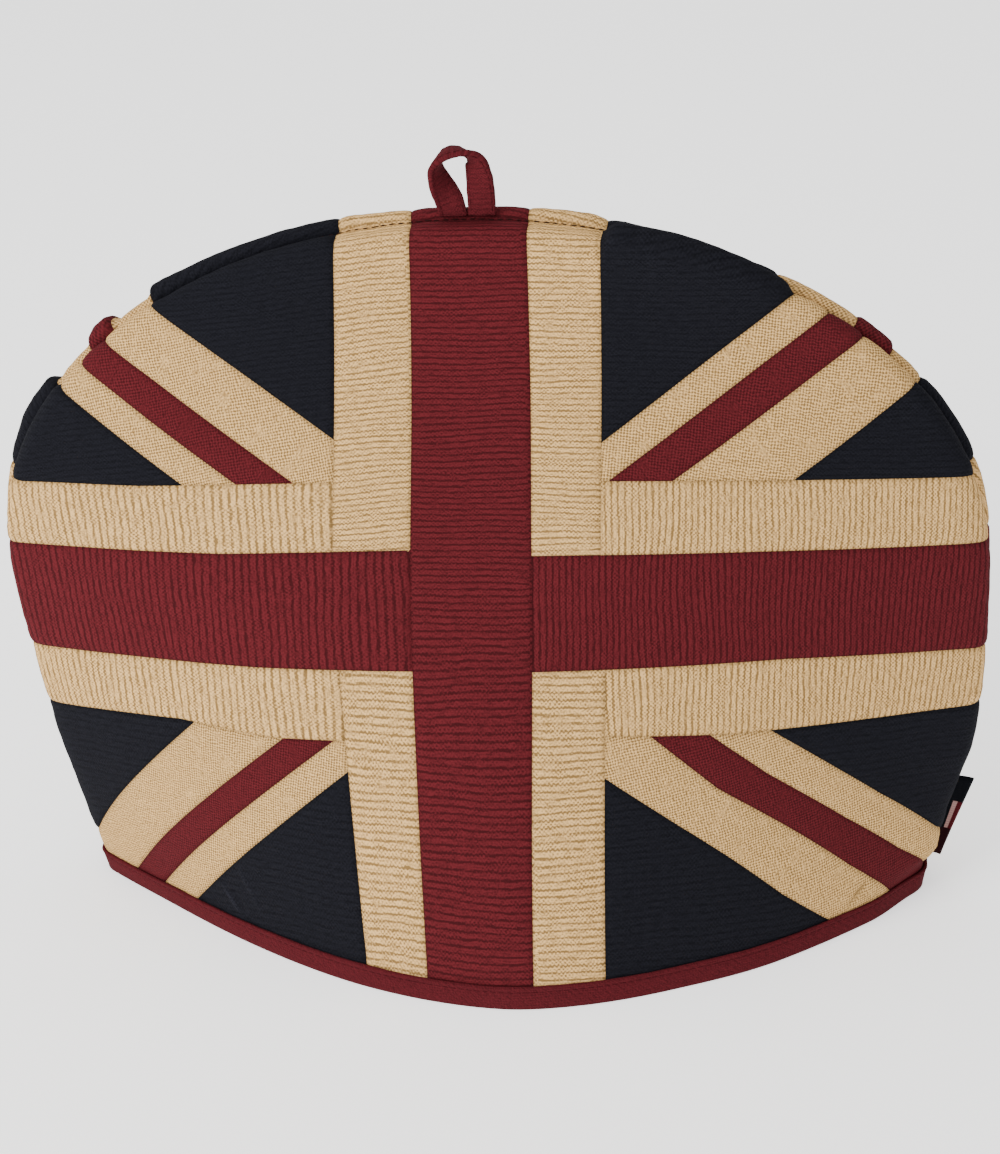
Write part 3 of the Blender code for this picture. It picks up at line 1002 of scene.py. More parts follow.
@dataclass(frozen=True)
class TagFinish:
    """A dark woven ribbon with a pale bar and a red bar side by side."""

    name: str
    ground: Colour = (0.0045, 0.0050, 0.0070)
    foot: Colour = (0.020, 0.0045, 0.0065)
    pale: Colour = (0.42, 0.24, 0.22)
    red: Colour = (0.080, 0.0085, 0.0120)
    bar_foot: float = 0.33
    bar_top: float = 0.68
    pale_edges: tuple[float, float] = (0.20, 0.56)
    weave_rates: tuple[float, float] = (6.0, 34.0)

    def build(self, effects: Effects) -> Material:
        """Make the material."""
        material, bench, place = start_cloth(self.name)
        fine_place = bench.scaled(place, *self.weave_rates)
        canvas = bench.group(effects.canvas, Place=fine_place, Ribs=0.5, Threads=0.4)
        out, height = bench.add("ShaderNodeSeparateXYZ", Vector=place).outputs[:2]
        above = bench.math("GREATER_THAN", height, self.bar_foot)
        below = bench.math("LESS_THAN", height, self.bar_top)
        bars = bench.times(bench.times(above, below), bench.math("GREATER_THAN", out, self.pale_edges[0]))
        inner = bench.math("LESS_THAN", out, self.pale_edges[1])
        colour = bench.mix(above, (*self.foot, 1), (*self.ground, 1))
        colour = bench.mix(bars, colour, (*self.red, 1))
        colour = bench.mix(bench.times(bars, inner), colour, (*self.pale, 1))
        # The weave's value paints highlight on the threads and shade between them.
        grey = bench.grey(bench.ramp(canvas.outputs["Value"], 0.5, 0.75))
        finish_cloth(bench, bench.mix(1.0, colour, grey, "MULTIPLY"), canvas.outputs["Height"],
                     (0.3, 0.15 * MM), roughness=0.9, shine=0.08)
        return material


# Each light colour is the painted highlight on a cloth's ribs and threads, each dark colour the painted
# shade between them.
CREAM_LIGHT, CREAM_DARK = (0.74, 0.455, 0.180), (0.22, 0.128, 0.044)
RED_LIGHT, RED_DARK = (0.105, 0.0125, 0.0165), (0.042, 0.0058, 0.0074)
NAVY_LIGHT, NAVY_DARK = (0.0100, 0.0102, 0.0142), (0.0042, 0.0043, 0.0062)
FINISHES = {
    Patch.CREAM: CanvasFinish("cream_canvas", CREAM_LIGHT, CREAM_DARK, ribs=0.80, threads=0.90),
    Patch.RED: CanvasFinish("red_canvas_strip", RED_LIGHT, RED_DARK, ribs=0.85, threads=0.60, seed=3.0),
    Patch.NAVY: CanvasFinish("navy_canvas", NAVY_LIGHT, NAVY_DARK, ribs=0.35, threads=0.60, seed=7.0),
    Patch.CREAM_BIAS: CanvasFinish("cream_canvas_bias", CREAM_LIGHT, CREAM_DARK, ribs=0.06, threads=2.3,
                                   thread_rate=1.65, seed=11.0),
    Patch.RED_BIAS: CanvasFinish("red_canvas_bias", RED_LIGHT, RED_DARK, ribs=0.06, threads=1.7,
                                 thread_rate=1.65, seed=13.0),
    Patch.LINING: CanvasFinish("lining_cotton", (0.55, 0.38, 0.20), (0.38, 0.25, 0.12), ribs=0.1,
                               threads=0.4, seed=17.0),
}
BINDING_FINISH = CanvasFinish("binding_canvas", (0.095, 0.0115, 0.0155), (0.045, 0.0060, 0.0080),
                              ribs=0.15, threads=0.45, seed=19.0)
LOOP_FINISH = CanvasFinish("loop_canvas", (0.095, 0.0115, 0.0155), (0.042, 0.0056, 0.0075),
                           ribs=0.30, threads=0.40, seed=23.0)
# Dark thread for the closing stitches, also painted shade on the turned-in edges deep in the seam.
SEAM_THREAD_AND_SHADE_FINISH = CanvasFinish("dark_thread_and_seam_shade", (0.030, 0.010, 0.009), (0.018, 0.006, 0.006),
                                  ribs=0.4, threads=0.2, seed=31.0)
THREAD_FINISH = CanvasFinish("red_thread", (0.075, 0.009, 0.013), (0.045, 0.006, 0.008),
                             ribs=0.4, threads=0.2, seed=29.0)


# ---------------------------------------------------------------------------
# Mesh helpers
# ---------------------------------------------------------------------------


def add_object(name: str, mesh: Mesh, slot: str, *nodes: str) -> Piece:
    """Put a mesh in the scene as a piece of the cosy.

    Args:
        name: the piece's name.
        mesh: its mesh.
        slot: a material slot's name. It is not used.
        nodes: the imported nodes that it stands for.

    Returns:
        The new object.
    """
    mesh.shade_smooth()
    piece = bpy.data.objects.new(name, mesh)
    bpy.context.scene.collection.objects.link(piece)
    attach(piece, "root")
    if nodes:
        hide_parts(*nodes)
    return piece


def set_weave_map(mesh: Mesh, places: Array) -> None:
    """Store the weave's coordinates, one pair for each face corner."""
    layer = mesh.uv_layers.new(name="Weave")
    layer.uv.foreach_set("vector", places.astype(np.float32).ravel())


def corner_vertices(mesh: Mesh) -> Array:
    """Return the vertex of each face corner."""
    found = np.zeros(len(mesh.loops), np.int32)
    mesh.loops.foreach_get("vertex_index", found)
    return found


def swept_mesh(name: str, rings: Array, places: Array, closed_path: bool) -> Mesh:
    """Skin a row of closed sections.

    Args:
        name: the mesh's name.
        rings: points, shaped (stations, points of a section, 3).
        places: weave coordinates, shaped (stations, points of a section, 2).
        closed_path: whether the last section joins the first.

    Returns:
        A closed mesh with a weave map.
    """
    stations, sides = rings.shape[:2]
    faces, uvs = [], []
    last = stations if closed_path else stations - 1
    for step in range(last):
        ahead = (step + 1) % stations
        for side in range(sides):
            beyond = (side + 1) % sides
            cell = ((step, side), (step, beyond), (ahead, beyond), (ahead, side))
            faces.append(tuple(row * sides + column for row, column in cell))
            uvs += [places[row, column] for row, column in cell]
    if not closed_path:
        faces.append(tuple(reversed(range(sides))))
        uvs += [places[0, column] for column in reversed(range(sides))]
        faces.append(tuple((stations - 1) * sides + side for side in range(sides)))
        uvs += [places[-1, column] for column in range(sides)]
    mesh = bpy.data.meshes.new(name)
    mesh.from_pydata(rings.reshape(-1, 3).tolist(), [], faces)
    set_weave_map(mesh, np.array(uvs))
    return mesh


def closed_piece(mesh: Mesh, cloth: Material, slot: str,
                 *nodes: str) -> Piece:
    """Turn a closed mesh's faces outwards and make a piece of one cloth from it."""
    work = bmesh.new()
    work.from_mesh(mesh)
    if work.calc_volume(signed=True) < 0:
        bmesh.ops.reverse_faces(work, faces=work.faces[:])
    work.to_mesh(mesh)
    work.free()
    mesh.materials.append(cloth)
    return add_object(mesh.name, mesh, slot, *nodes)


# ---------------------------------------------------------------------------
# Padded panels
# ---------------------------------------------------------------------------


class Roll(NamedTuple):
    """How far the padded edge stands out in millimetres, at a place round the outline.

    The clock is 0 at the right of the waist, 90 at the top and 180 at the left of the
    waist, and runs on to -90 and 270 at the hem.
    """

    clock: float
    rise: float


class RimLean(NamedTuple):
    """The way, in degrees on the flat pattern, that the cloth runs on over the rim."""

    clock: float
    lean: float


RIM_LEANS = (
    RimLean(-90, -8), RimLean(0, 0), RimLean(17, 2), RimLean(28, 37.5), RimLean(54, 37.5),
    RimLean(73, 90), RimLean(107, 90), RimLean(126, 143.5), RimLean(152, 143.5), RimLean(163, 178),
    RimLean(180, 180), RimLean(270, 188),
)
FRONT_ROLLS = (
    Roll(-90, -1.0), Roll(-68, -2.0), Roll(-60, -0.6), Roll(-50, 1.2), Roll(-40, 0.8), Roll(-15, -0.6),
    Roll(8, -1.4), Roll(20, -0.6), Roll(30, 0.0), Roll(47, -0.4), Roll(51.9, -0.6), Roll(53.1, 1.4),
    Roll(58, 2.6), Roll(66, 3.2), Roll(73.6, 2.0), Roll(74.8, -2.6), Roll(104.6, -2.6), Roll(105.6, -1.4),
    Roll(127, -1.4), Roll(129, -0.6), Roll(146.2, -0.4), Roll(148, 1.0), Roll(165, 1.2), Roll(180, 0.0),
    Roll(205, -1.2), Roll(245, -1.0), Roll(270, 0.0),
)
BACK_ROLLS = (
    Roll(-90, -1.0), Roll(-60, -1.8), Roll(-30, -1.0), Roll(0, -1.2), Roll(10, 0.0), Roll(20, 1.2),
    Roll(30, 1.2), Roll(31, 0.4), Roll(36.3, 0.6), Roll(37.3, 1.9), Roll(42.4, 1.9), Roll(43.4, 1.0),
    Roll(53, 0.4), Roll(60, -0.6), Roll(74, -0.2), Roll(76, 0.9), Roll(90, 0.2), Roll(100, 0.8),
    Roll(105, 1.6), Roll(115, 1.6), Roll(124, 2.2), Roll(128.9, 3.2), Roll(130.1, 0.4), Roll(135.4, 0.2),
    Roll(136.5, 4.6), Roll(138.5, 4.2), Roll(140.2, 2.8), Roll(141.2, 0.8), Roll(147.9, 0.8),
    Roll(149.1, 4.8), Roll(155, 5.6), Roll(160, 4.6), Roll(170, 3.2), Roll(180, 2.1), Roll(195, 0.2),
    Roll(220, -1.0), Roll(270, 0.0),
)
LAYER_KEYS = ("place_x", "place_y", "place_z", "flat_u", "flat_v", "run")


@dataclass(frozen=True)
class PaddedPanel:
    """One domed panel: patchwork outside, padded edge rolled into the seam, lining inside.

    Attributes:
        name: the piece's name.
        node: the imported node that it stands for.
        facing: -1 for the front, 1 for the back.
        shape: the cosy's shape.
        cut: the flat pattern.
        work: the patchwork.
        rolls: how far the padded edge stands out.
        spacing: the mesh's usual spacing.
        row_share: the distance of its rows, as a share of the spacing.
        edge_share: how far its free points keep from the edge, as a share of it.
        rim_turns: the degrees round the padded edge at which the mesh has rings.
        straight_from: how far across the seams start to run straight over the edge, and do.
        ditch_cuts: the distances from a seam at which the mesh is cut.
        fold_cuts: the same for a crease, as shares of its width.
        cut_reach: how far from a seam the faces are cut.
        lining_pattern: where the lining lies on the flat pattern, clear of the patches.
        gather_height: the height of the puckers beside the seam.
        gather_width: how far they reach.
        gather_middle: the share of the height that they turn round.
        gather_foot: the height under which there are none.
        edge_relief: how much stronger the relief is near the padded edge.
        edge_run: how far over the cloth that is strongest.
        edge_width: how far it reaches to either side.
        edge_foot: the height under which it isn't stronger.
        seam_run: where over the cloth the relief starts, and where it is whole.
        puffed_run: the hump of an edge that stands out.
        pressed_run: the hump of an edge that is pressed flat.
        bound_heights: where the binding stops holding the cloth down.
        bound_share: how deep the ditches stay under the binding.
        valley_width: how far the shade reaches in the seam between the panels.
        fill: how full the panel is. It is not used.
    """

    name: str
    node: str
    facing: int
    shape: CosyShape
    cut: FlatCut
    work: Patchwork
    rolls: tuple[Roll, ...]
    spacing: float = 2.2 * MM
    row_share: float = 0.866
    edge_share: float = 0.55
    rim_turns: tuple[int, ...] = (0, 12, 26, 40, 55, 70, 85, 100, 115, 130, 145, 160, 180)
    straight_from: tuple[float, float] = (50 * MM, 80 * MM)
    ditch_cuts: tuple[float, ...] = (-2.2 * MM, -0.8 * MM, 0.8 * MM, 2.2 * MM)
    fold_cuts: tuple[float, ...] = (-1.6, -0.8, 0.0, 0.8, 1.6)
    cut_reach: float = 5.5 * MM
    lining_pattern: tuple[float, float] = (0.0, 1.0)
    gather_height: float = 0.22 * MM
    gather_width: float = 7 * MM
    gather_middle: float = 0.4
    gather_foot: float = 30 * MM
    edge_relief: float = 0.15
    edge_run: float = 5 * MM
    edge_width: float = 9 * MM
    edge_foot: float = 20 * MM
    seam_run: tuple[float, float] = (0.3 * MM, 4 * MM)
    puffed_run: tuple[float, ...] = (0.0, 5.5 * MM, 7 * MM, 32 * MM)
    pressed_run: tuple[float, ...] = (0.5 * MM, 4.5 * MM, 7 * MM, 17 * MM)
    bound_heights: tuple[float, float] = (6 * MM, 14 * MM)
    bound_share: float = 0.4
    valley_width: float = 1.3 * MM
    fill: float = 0.35

    def field(self) -> tuple[Array, list[tuple[int, ...]], int, int]:
        """Fill the panel's outline inside its rounded edge with triangles.

        Returns:
            Points (x, z), triangles, and how many points lie on the ring and on the hem.
        """
        shape, spacing = self.shape, self.spacing
        ring = shape.ring(shape.nose, spacing)
        steps = int((ring[-1, 0] - ring[0, 0]) / spacing)
        hem_x = np.linspace(ring[-1, 0], ring[0, 0], steps + 1)[1:-1]
        hem = np.insert(hem_x[:, None], 1, shape.hem_lift, axis=1)
        inner = []
        for index, level in enumerate(np.arange(shape.hem_lift + 0.7 * spacing, shape.height,
                                                self.row_share * spacing)):
            half = float(shape.half_width(level))
            xs = np.arange(-half, half, spacing) + 0.5 * spacing * (index % 2)
            inner.append(np.insert(xs[:, None], 1, level, axis=1))
        loose = np.concatenate(inner)
        deep = shape.edge_distance(*loose.T) > shape.nose + self.edge_share * spacing
        points = np.concatenate([ring, hem, loose[deep]])
        border = list(range(len(ring) + len(hem)))
        found = geometry.delaunay_2d_cdt([Vector(p) for p in points.tolist()], [], [border], 1, 1e-7)
        source = np.array([origins[0] for origins in found[3]])
        return points, [tuple(int(source[i]) for i in face) for face in found[2]], len(ring), len(hem)

    def build_shell(self) -> Shell:
        """Make the closed shell on the flat pattern, with each vertex's place in its layers."""
        shape = self.shape
        field, triangles, ring_count, hem_count = self.field()
        x, z = field[:, 0], field[:, 1]
        flat = self.cut.place(x, z)
        outer = np.column_stack([x, shape.outer_depth(x, z), z])
        lining_depth = shape.inner_depth(x, z)
        lining_depth[:ring_count] = shape.half_gap
        lining = np.column_stack([x, lining_depth, z])
        clock = shape.clock(x[:ring_count], z[:ring_count])
        lean = np.radians(np.interp(clock, *columns(RIM_LEANS)))
        past_crest = np.column_stack([np.cos(lean), np.sin(lean)])
        deeper = shape.ring(shape.nose + 1 * MM, self.spacing)
        outward = flat[:ring_count] - self.cut.place(*deeper.T)
        outward /= np.linalg.norm(outward, axis=1, keepdims=True)
        straight = soft_step(np.abs(x[:ring_count]), *self.straight_from)[:, None] * (self.facing < 0)
        to_crest = past_crest + straight * (outward - past_crest)
        shell = bmesh.new()
        layers = [shell.verts.layers.float.new(key) for key in LAYER_KEYS]
        skin = shell.faces.layers.int.new("skin")

        def add_points(places: Array, patterns: Array, runs: Array) -> list[bmesh.types.BMVert]:
            made = []
            table = np.column_stack([places * (1, self.facing, 1), patterns, runs]).tolist()
            for row in table:
                vert = shell.verts.new((row[3], row[4], 0.0))
                for layer, value in zip(layers, row):
                    vert[layer] = value
                made.append(vert)
            return made

        def add_face(verts: Sequence[bmesh.types.BMVert], mark: int) -> None:
            turned = verts if (self.facing < 0) == (mark == 1) else tuple(reversed(verts))
            shell.faces.new(turned)[skin] = mark

        half_turn = math.pi * shape.nose
        inset = shape.edge_distance(x, z)
        inset[:ring_count] = shape.nose
        outer_verts = add_points(outer, flat, half_turn + inset - shape.nose)
        rings = [outer_verts[:ring_count]]
        for turn in reversed(self.rim_turns[:-1]):
            angle = math.radians(turn)
            line = shape.ring(shape.nose * (1 - math.sin(angle)), self.spacing)
            crown = shape.bulge(line[:, 0], line[:, 1]) if turn > 90 else 0.0
            press = shape.hem_press * shape.squeeze(line[:, 1]) * (1 - math.sin(angle)) * (turn > 90)
            depth = np.maximum(shape.nose * (1 - math.cos(angle)) + crown - press, shape.half_gap)
            first, second = min(math.pi - angle, 0.5 * math.pi), max(0.5 * math.pi - angle, 0.0)
            pattern = flat[:ring_count] + shape.nose * (to_crest * first + past_crest * second)
            place = np.column_stack([line[:, 0], depth, line[:, 1]])
            rings.append(add_points(place, pattern, np.full(ring_count, shape.nose * angle)))
        far_pattern = flat[ring_count:] + self.lining_pattern
        lining_verts = add_points(lining[ring_count:], far_pattern, np.zeros(len(far_pattern)))
        inner_verts = rings[-1] + lining_verts
        for triangle in triangles:
            add_face([outer_verts[i] for i in triangle], 1)
            add_face([inner_verts[i] for i in triangle], 0)
        for upper, lower in zip(rings, rings[1:]):
            for step in range(ring_count - 1):
                add_face((upper[step], upper[step + 1], lower[step + 1], lower[step]), 1)
        border = [ring_count - 1, *range(ring_count, ring_count + hem_count), 0]
        for here, ahead in zip(border, border[1:]):
            add_face((inner_verts[here], inner_verts[ahead], outer_verts[ahead], outer_verts[here]), 0)
        add_face([ring[-1] for ring in rings], 0)
        add_face([ring[0] for ring in rings][::-1], 0)
        return shell

    def sew(self, shell: Shell) -> None:
        """Cut the shell along every seam, beside it for the ditch, and along the creases."""
        skin = shell.faces.layers.int["skin"]
        for seam in self.work.seams:
            points = seam.points()
            for bend in points[1:-1]:
                axis = Vector((0, 1, 0)) if seam.upright else Vector((1, 0, 0))
                near = self.near_faces(shell, skin, bend, bend + np.array(axis[:2]) * 1e-4)
                split(shell, near, Vector((*bend, 0)), axis)
            for start, end in zip(points, points[1:]):
                faces = self.near_faces(shell, skin, start, end)
                centres = np.array([face.calc_center_median()[:2] for face in faces]).reshape(-1, 2)
                held = self.work.inside(seam.within, centres[:, 0], centres[:, 1])
                _, share = segment_distance(centres[:, 0], centres[:, 1], start, end)
                if len(points) > 2:
                    held &= (share > 0) & (share < 1)
                normal = normal_of(start, end)
                kept = [face for face, keep in zip(faces, held) if not keep]
                faces = split(shell, [face for face, keep in zip(faces, held) if keep],
                              Vector((*start, 0)), normal) + kept
                for offset in self.ditch_cuts:
                    faces = split(shell, faces, Vector((*start, 0)) + normal * offset, normal)
        for crease in self.work.creases:
            start, end = crease.ends()
            normal = normal_of(start, end)
            faces = self.near_faces(shell, skin, start, end)
            for share in self.fold_cuts:
                offset = share * crease.width * MM
                faces = split(shell, faces, Vector((*start, 0)) + normal * offset, normal)

    def near_faces(self, shell: Shell, skin: object, start: Array, end: Array) -> list[Face]:
        """Return the outer faces close to a stretch of a seam."""
        reach = end - start
        length = float(np.hypot(*reach))
        way_u, way_v = reach / length
        from_u, from_v, limit = float(start[0]), float(start[1]), self.cut_reach
        found = []
        for face in shell.faces:
            if face[skin] != 1:
                continue
            spot = face.verts[0].co
            du, dv = spot.x - from_u, spot.y - from_v
            if abs(du * way_v - dv * way_u) < limit and -limit < du * way_u + dv * way_v < length + limit:
                found.append(face)
        return found

    def roll(self, x: Array, z: Array, run: Array) -> Array:
        """Return how far the rolled edge stands out past the even one, or is pressed flat.

        Args:
            x: places across the panel.
            z: heights.
            run: distances from the seam over the cloth.

        Returns:
            The rise of each point along its normal.
        """
        amount = np.interp(self.shape.clock(x, z), *columns(self.rolls)) * MM
        return amount * np.where(amount > 0, hump(run, *self.puffed_run), hump(run, *self.pressed_run))

    def gathers(self, x: Array, z: Array) -> Array:
        """Return the small puckers that the sewn edge pulls into the cloth beside it."""
        away = self.shape.edge_distance(x, z)
        around = np.arctan2(z - self.gather_middle * self.shape.height, x)
        wave = np.array([sway(a * 26, 4.1 * self.facing) + 0.5 * sway(a * 61, 2.2) for a in around])
        return self.gather_height * wave * fading(away, self.gather_width) * (z > self.gather_foot)

    def cloth_relief(self, values: Array) -> tuple[Array, Array]:
        """Work out how far the cloth stands out from the smooth panel, and its shade in the seams.

        Args:
            values: the layers of each vertex, in the order of LAYER_KEYS.

        Returns:
            The rise of each vertex, and a mask of the painted shade in the seams and in the valley between
            the panels, less the painted sheen along the creases, which adds painted shade where it is below
            0.
        """
        x, _, z, u, v, run = values.T
        rise, seam = self.work.relief(u, v)
        rise *= 1 + self.edge_relief * fading(run - self.edge_run, self.edge_width) * (z > self.edge_foot)
        rise += self.gathers(x, z)
        free = soft_step(z, *self.bound_heights)
        rise *= np.where(rise > 0, free, self.bound_share + (1 - self.bound_share) * free)
        rise = (rise * soft_step(run, *self.seam_run) + self.roll(x, z, run) * free) * (run > 0)
        # Painted shadow in the valley between the two panels joins the painted shade in the patch seams.
        seam = np.maximum(seam * (run > 0), fading(run, self.valley_width))
        return rise, seam - self.work.fold_light_and_shade(u, v) * (run > 0)

    def build(self, materials: dict[Patch, Material]) -> Piece:
        """Make the panel.

        Args:
            materials: the cloth of each patch.

        Returns:
            The finished piece.
        """
        shell = self.build_shell()
        self.sew(shell)
        layers = [shell.verts.layers.float[key] for key in LAYER_KEYS]
        values = np.array([[vert[layer] for layer in layers] for vert in shell.verts])
        for vert, place in zip(shell.verts, values[:, :3].tolist()):
            vert.co = place
        shell.normal_update()
        rise, seam = self.cloth_relief(values)
        proud = np.array([vert.co + vert.normal * lift for vert, lift in zip(shell.verts, rise.tolist())])
        for vert, place in zip(shell.verts, self.shape.settled(proud).tolist()):
            vert.co = place
        skin = shell.faces.layers.int["skin"]
        shell.faces.ensure_lookup_table()
        shell.verts.index_update()
        outside = np.array([face[skin] == 1 for face in shell.faces])
        flat = values[:, 3:5]
        centres = np.array([flat[[v.index for v in face.verts]].mean(axis=0) for face in shell.faces])
        patch, grain = self.work.classify(centres[:, 0], centres[:, 1])
        patch[~outside], grain[~outside] = Patch.LINING.value, UPRIGHT
        for face, kind in zip(shell.faces, patch.tolist()):
            face.material_index = kind
        sizes = np.array([len(face.verts) for face in shell.faces])
        for key in LAYER_KEYS:
            shell.verts.layers.float.remove(shell.verts.layers.float[key])
        shell.faces.layers.int.remove(shell.faces.layers.int["skin"])
        mesh = bpy.data.meshes.new(self.name)
        shell.to_mesh(mesh)
        shell.free()
        corners = corner_vertices(mesh)
        turns, homes = np.repeat(grain, sizes), np.repeat(centres, sizes, axis=0)
        set_weave_map(mesh, self.work.weave_place(*flat[corners].T, turns, homes))
        # The seam attribute paints shade into the colour in the seams and the valley, and sheen along the
        # creases.
        mark = mesh.attributes.new("seam", "FLOAT", "POINT")
        mark.data.foreach_set("value", seam.astype(np.float32))
        for kind in Patch:
            mesh.materials.append(materials[kind])
        panel = add_object(self.name, mesh, "patchwork_canvas", self.node)
        return panel


def normal_of(start: Array, end: Array) -> Vector:
    """Return the direction that lies a quarter turn to the left of a stretch."""
    reach = Vector((*(end - start), 0)).normalized()
    return Vector((-reach.y, reach.x, 0))


def split(shell: Shell, faces: list[Face], point: Vector, normal: Vector) -> list[Face]:
    """Cut faces along a straight line and return what they became."""
    if not faces:
        return []
    parts: set = set(faces)
    for face in faces:
        parts.update(face.edges)
        parts.update(face.verts)
    made = bmesh.ops.bisect_plane(shell, geom=list(parts), dist=1e-6, plane_co=point, plane_no=normal)
    return [item for item in made["geom"] if isinstance(item, Face)]


# ---------------------------------------------------------------------------
# Binding, loop and tag
# ---------------------------------------------------------------------------


class Leg(Enum):
    """The sides of the hem that the binding's section is measured from."""

    OUTER = "outer"
    INNER = "inner"


class Station(NamedTuple):
    """A point of the binding's section: the side, how far outside it, and its height."""

    leg: Leg
    shift: float
    height: float


@dataclass(frozen=True)
class HemBinding:
    """The bias strip folded round the hem of both panels, edge-stitched."""

    shape: CosyShape
    height: float
    name: str = "hem_binding_cloth"
    cloth: float = 1.2 * MM
    outer_gap: float = 0.3 * MM
    inner_gap: float = 0.45 * MM
    top_row: float = 9.0 * MM
    corner: float = 8.0 * MM
    spacing: float = 2.0 * MM
    waver: float = 0.30 * MM
    bulging: float = 0.12 * MM
    thread_pitch: float = 2.9 * MM
    thread_length: float = 2.1 * MM
    thread_radius: float = 0.20 * MM
    rib_pitch: float = 2.2 * MM
    weave_station: int = 5
    girth_station: int = 40

    def hem_places(self) -> Array:
        """Return the shares of the half width at which the binding's path has points."""
        nose, half = self.shape.nose, self.shape.hem_half
        turns = np.radians([90, 108, 126, 144, 162, 178])
        edge = half - nose * (1 - np.sin(turns))
        inner = np.linspace(edge[-1], -edge[-1], int(2 * edge[-1] / self.spacing))[1:-1]
        return np.concatenate([-edge, inner[::-1], edge[::-1]]) / half

    def loop(self, leg: Leg, level: float) -> tuple[Array, Array]:
        """Return a loop round the hem at a height, and its outward normals."""
        shape, shares = self.shape, self.hem_places()
        low, top = (float(shape.half_width(h)) for h in (shape.hem_lift, self.top_row))
        reach = np.clip((level - shape.hem_lift) / (self.top_row - shape.hem_lift), 0, 1)
        half = low + reach * (top - low) - (self.corner if leg is Leg.INNER else 0)
        x = shares * half
        z = np.full_like(x, max(level, shape.hem_lift))
        if leg is Leg.INNER:
            depth = shape.inner_depth(x, z)
        else:
            inside = np.clip((half - np.abs(x)) / shape.nose, 0, 1)
            press = shape.hem_press * shape.squeeze(z) * inside
            depth = shape.nose * (1 + np.sqrt(1 - (1 - inside) ** 2)) + shape.bulge(x, z) - press
        front = np.column_stack([x, -depth])
        line = np.concatenate([front, front[::-1] * (1, -1)])
        ways = (np.roll(line, -1, axis=0) - line, line - np.roll(line, 1, axis=0))
        ways = [way / (np.linalg.norm(way, axis=1, keepdims=True) + 1e-12) for way in ways]
        turned = [np.stack([way[:, 1], -way[:, 0]], axis=-1) for way in ways]
        normal = turned[0] + turned[1]
        normal /= np.linalg.norm(normal, axis=1, keepdims=True)
        mitre = np.clip((normal * turned[0]).sum(axis=1), 0.6, 1.0)
        return line, normal / mitre[:, None]

    def section(self) -> tuple[Station, ...]:
        """Return the closed section of the folded strip, anticlockwise from the floor."""
        out, back, top = self.outer_gap, -self.inner_gap, self.height
        face, rear = out + self.cloth, back - self.cloth
        return (
            Station(Leg.OUTER, face - 0.35 * MM, 0.0),
            Station(Leg.OUTER, face - 0.05 * MM, 0.35 * MM),
            Station(Leg.OUTER, face, 1.2 * MM),
            Station(Leg.OUTER, face - 0.02 * MM, 4.0 * MM),
            Station(Leg.OUTER, face - 0.12 * MM, top - 2.6 * MM),
            Station(Leg.OUTER, face - 0.30 * MM, top - 1.9 * MM),
            Station(Leg.OUTER, face - 0.10 * MM, top - 1.3 * MM),
            Station(Leg.OUTER, face + 0.075 * MM, top - 0.75 * MM),
            Station(Leg.OUTER, face - 0.25 * MM, top - 0.20 * MM),
            Station(Leg.OUTER, out + 0.35 * MM, top),
            Station(Leg.OUTER, out - 0.15 * MM, top - 0.25 * MM),
            Station(Leg.OUTER, out - 0.15 * MM, top - 0.9 * MM),
            Station(Leg.OUTER, out, 1.2 * MM),
            Station(Leg.INNER, back, 1.2 * MM),
            Station(Leg.INNER, back, top - 0.9 * MM),
            Station(Leg.INNER, back - 0.05 * MM, top - 0.25 * MM),
            Station(Leg.INNER, back - 0.45 * MM, top),
            Station(Leg.INNER, rear + 0.25 * MM, top - 0.20 * MM),
            Station(Leg.INNER, rear, top - 0.9 * MM),
            Station(Leg.INNER, rear, 1.2 * MM),
            Station(Leg.INNER, rear + 0.05 * MM, 0.35 * MM),
            Station(Leg.INNER, rear + 0.35 * MM, 0.0),
        )

    def rings(self) -> tuple[Array, Array]:
        """Return the binding's points and weave places, station by station along the hem."""
        rows, runs = [], []
        for station in self.section():
            line, normal = self.loop(station.leg, station.height)
            run = run_along(line)
            wave = np.array([sway(at * 70, 3.3) + 0.6 * sway(at * 190, 5.1) for at in run])
            wave *= float(soft_step(station.height, 0.3 * self.height, 0.9 * self.height))
            shift = station.shift + self.bulging * wave * (station.shift > 0.4 * MM)
            level = station.height + self.waver * wave
            rows.append(np.column_stack([line + normal * np.reshape(shift, (-1, 1)), level]))
            runs.append(run)
        rings, along = np.stack(rows, axis=1), np.stack(runs, axis=1)
        lean = np.broadcast_to(run_along(rings[self.weave_station]), along.shape)
        weave = np.stack([along - lean, along + lean], axis=-1) * (math.sqrt(0.5) / self.rib_pitch)
        return self.shape.settled(rings.reshape(-1, 3)).reshape(rings.shape), weave

    def build(self, cloth: Material, thread: Material) -> list[Piece]:
        """Make the strip and its stitches.

        Args:
            cloth: the strip's material.
            thread: the stitches' material.

        Returns:
            Both pieces.
        """
        rings, weave = self.rings()
        strip = closed_piece(swept_mesh(self.name, rings, weave, True), cloth, "red_canvas", "hem_binding")
        stitches = self.build_stitches(thread)
        return [strip, stitches]

    def build_stitches(self, thread: Material) -> Piece:
        """Make the row of stitches under the strip's upper edge."""
        level = self.height - 1.9 * MM
        line, normal = self.loop(Leg.OUTER, level)
        line = line + normal * (self.outer_gap + self.cloth - 0.22 * MM)
        closed = np.vstack([line, line[:1]])
        run = run_along(closed)
        rows = []
        starts = np.linspace(0, run[-1], int(run[-1] / self.thread_pitch), endpoint=False)
        for index, start in enumerate(starts):
            spots = (start + np.linspace(0, self.thread_length, 5)) % run[-1]
            height = level + 0.10 * MM * sway(index * 0.7, 1.0)
            rows.append(self.shape.settled(np.insert(points_at(spots, run, closed), 2, height, axis=1)))
        return thread_piece("hem_stitches", rows, self.thread_radius, thread)


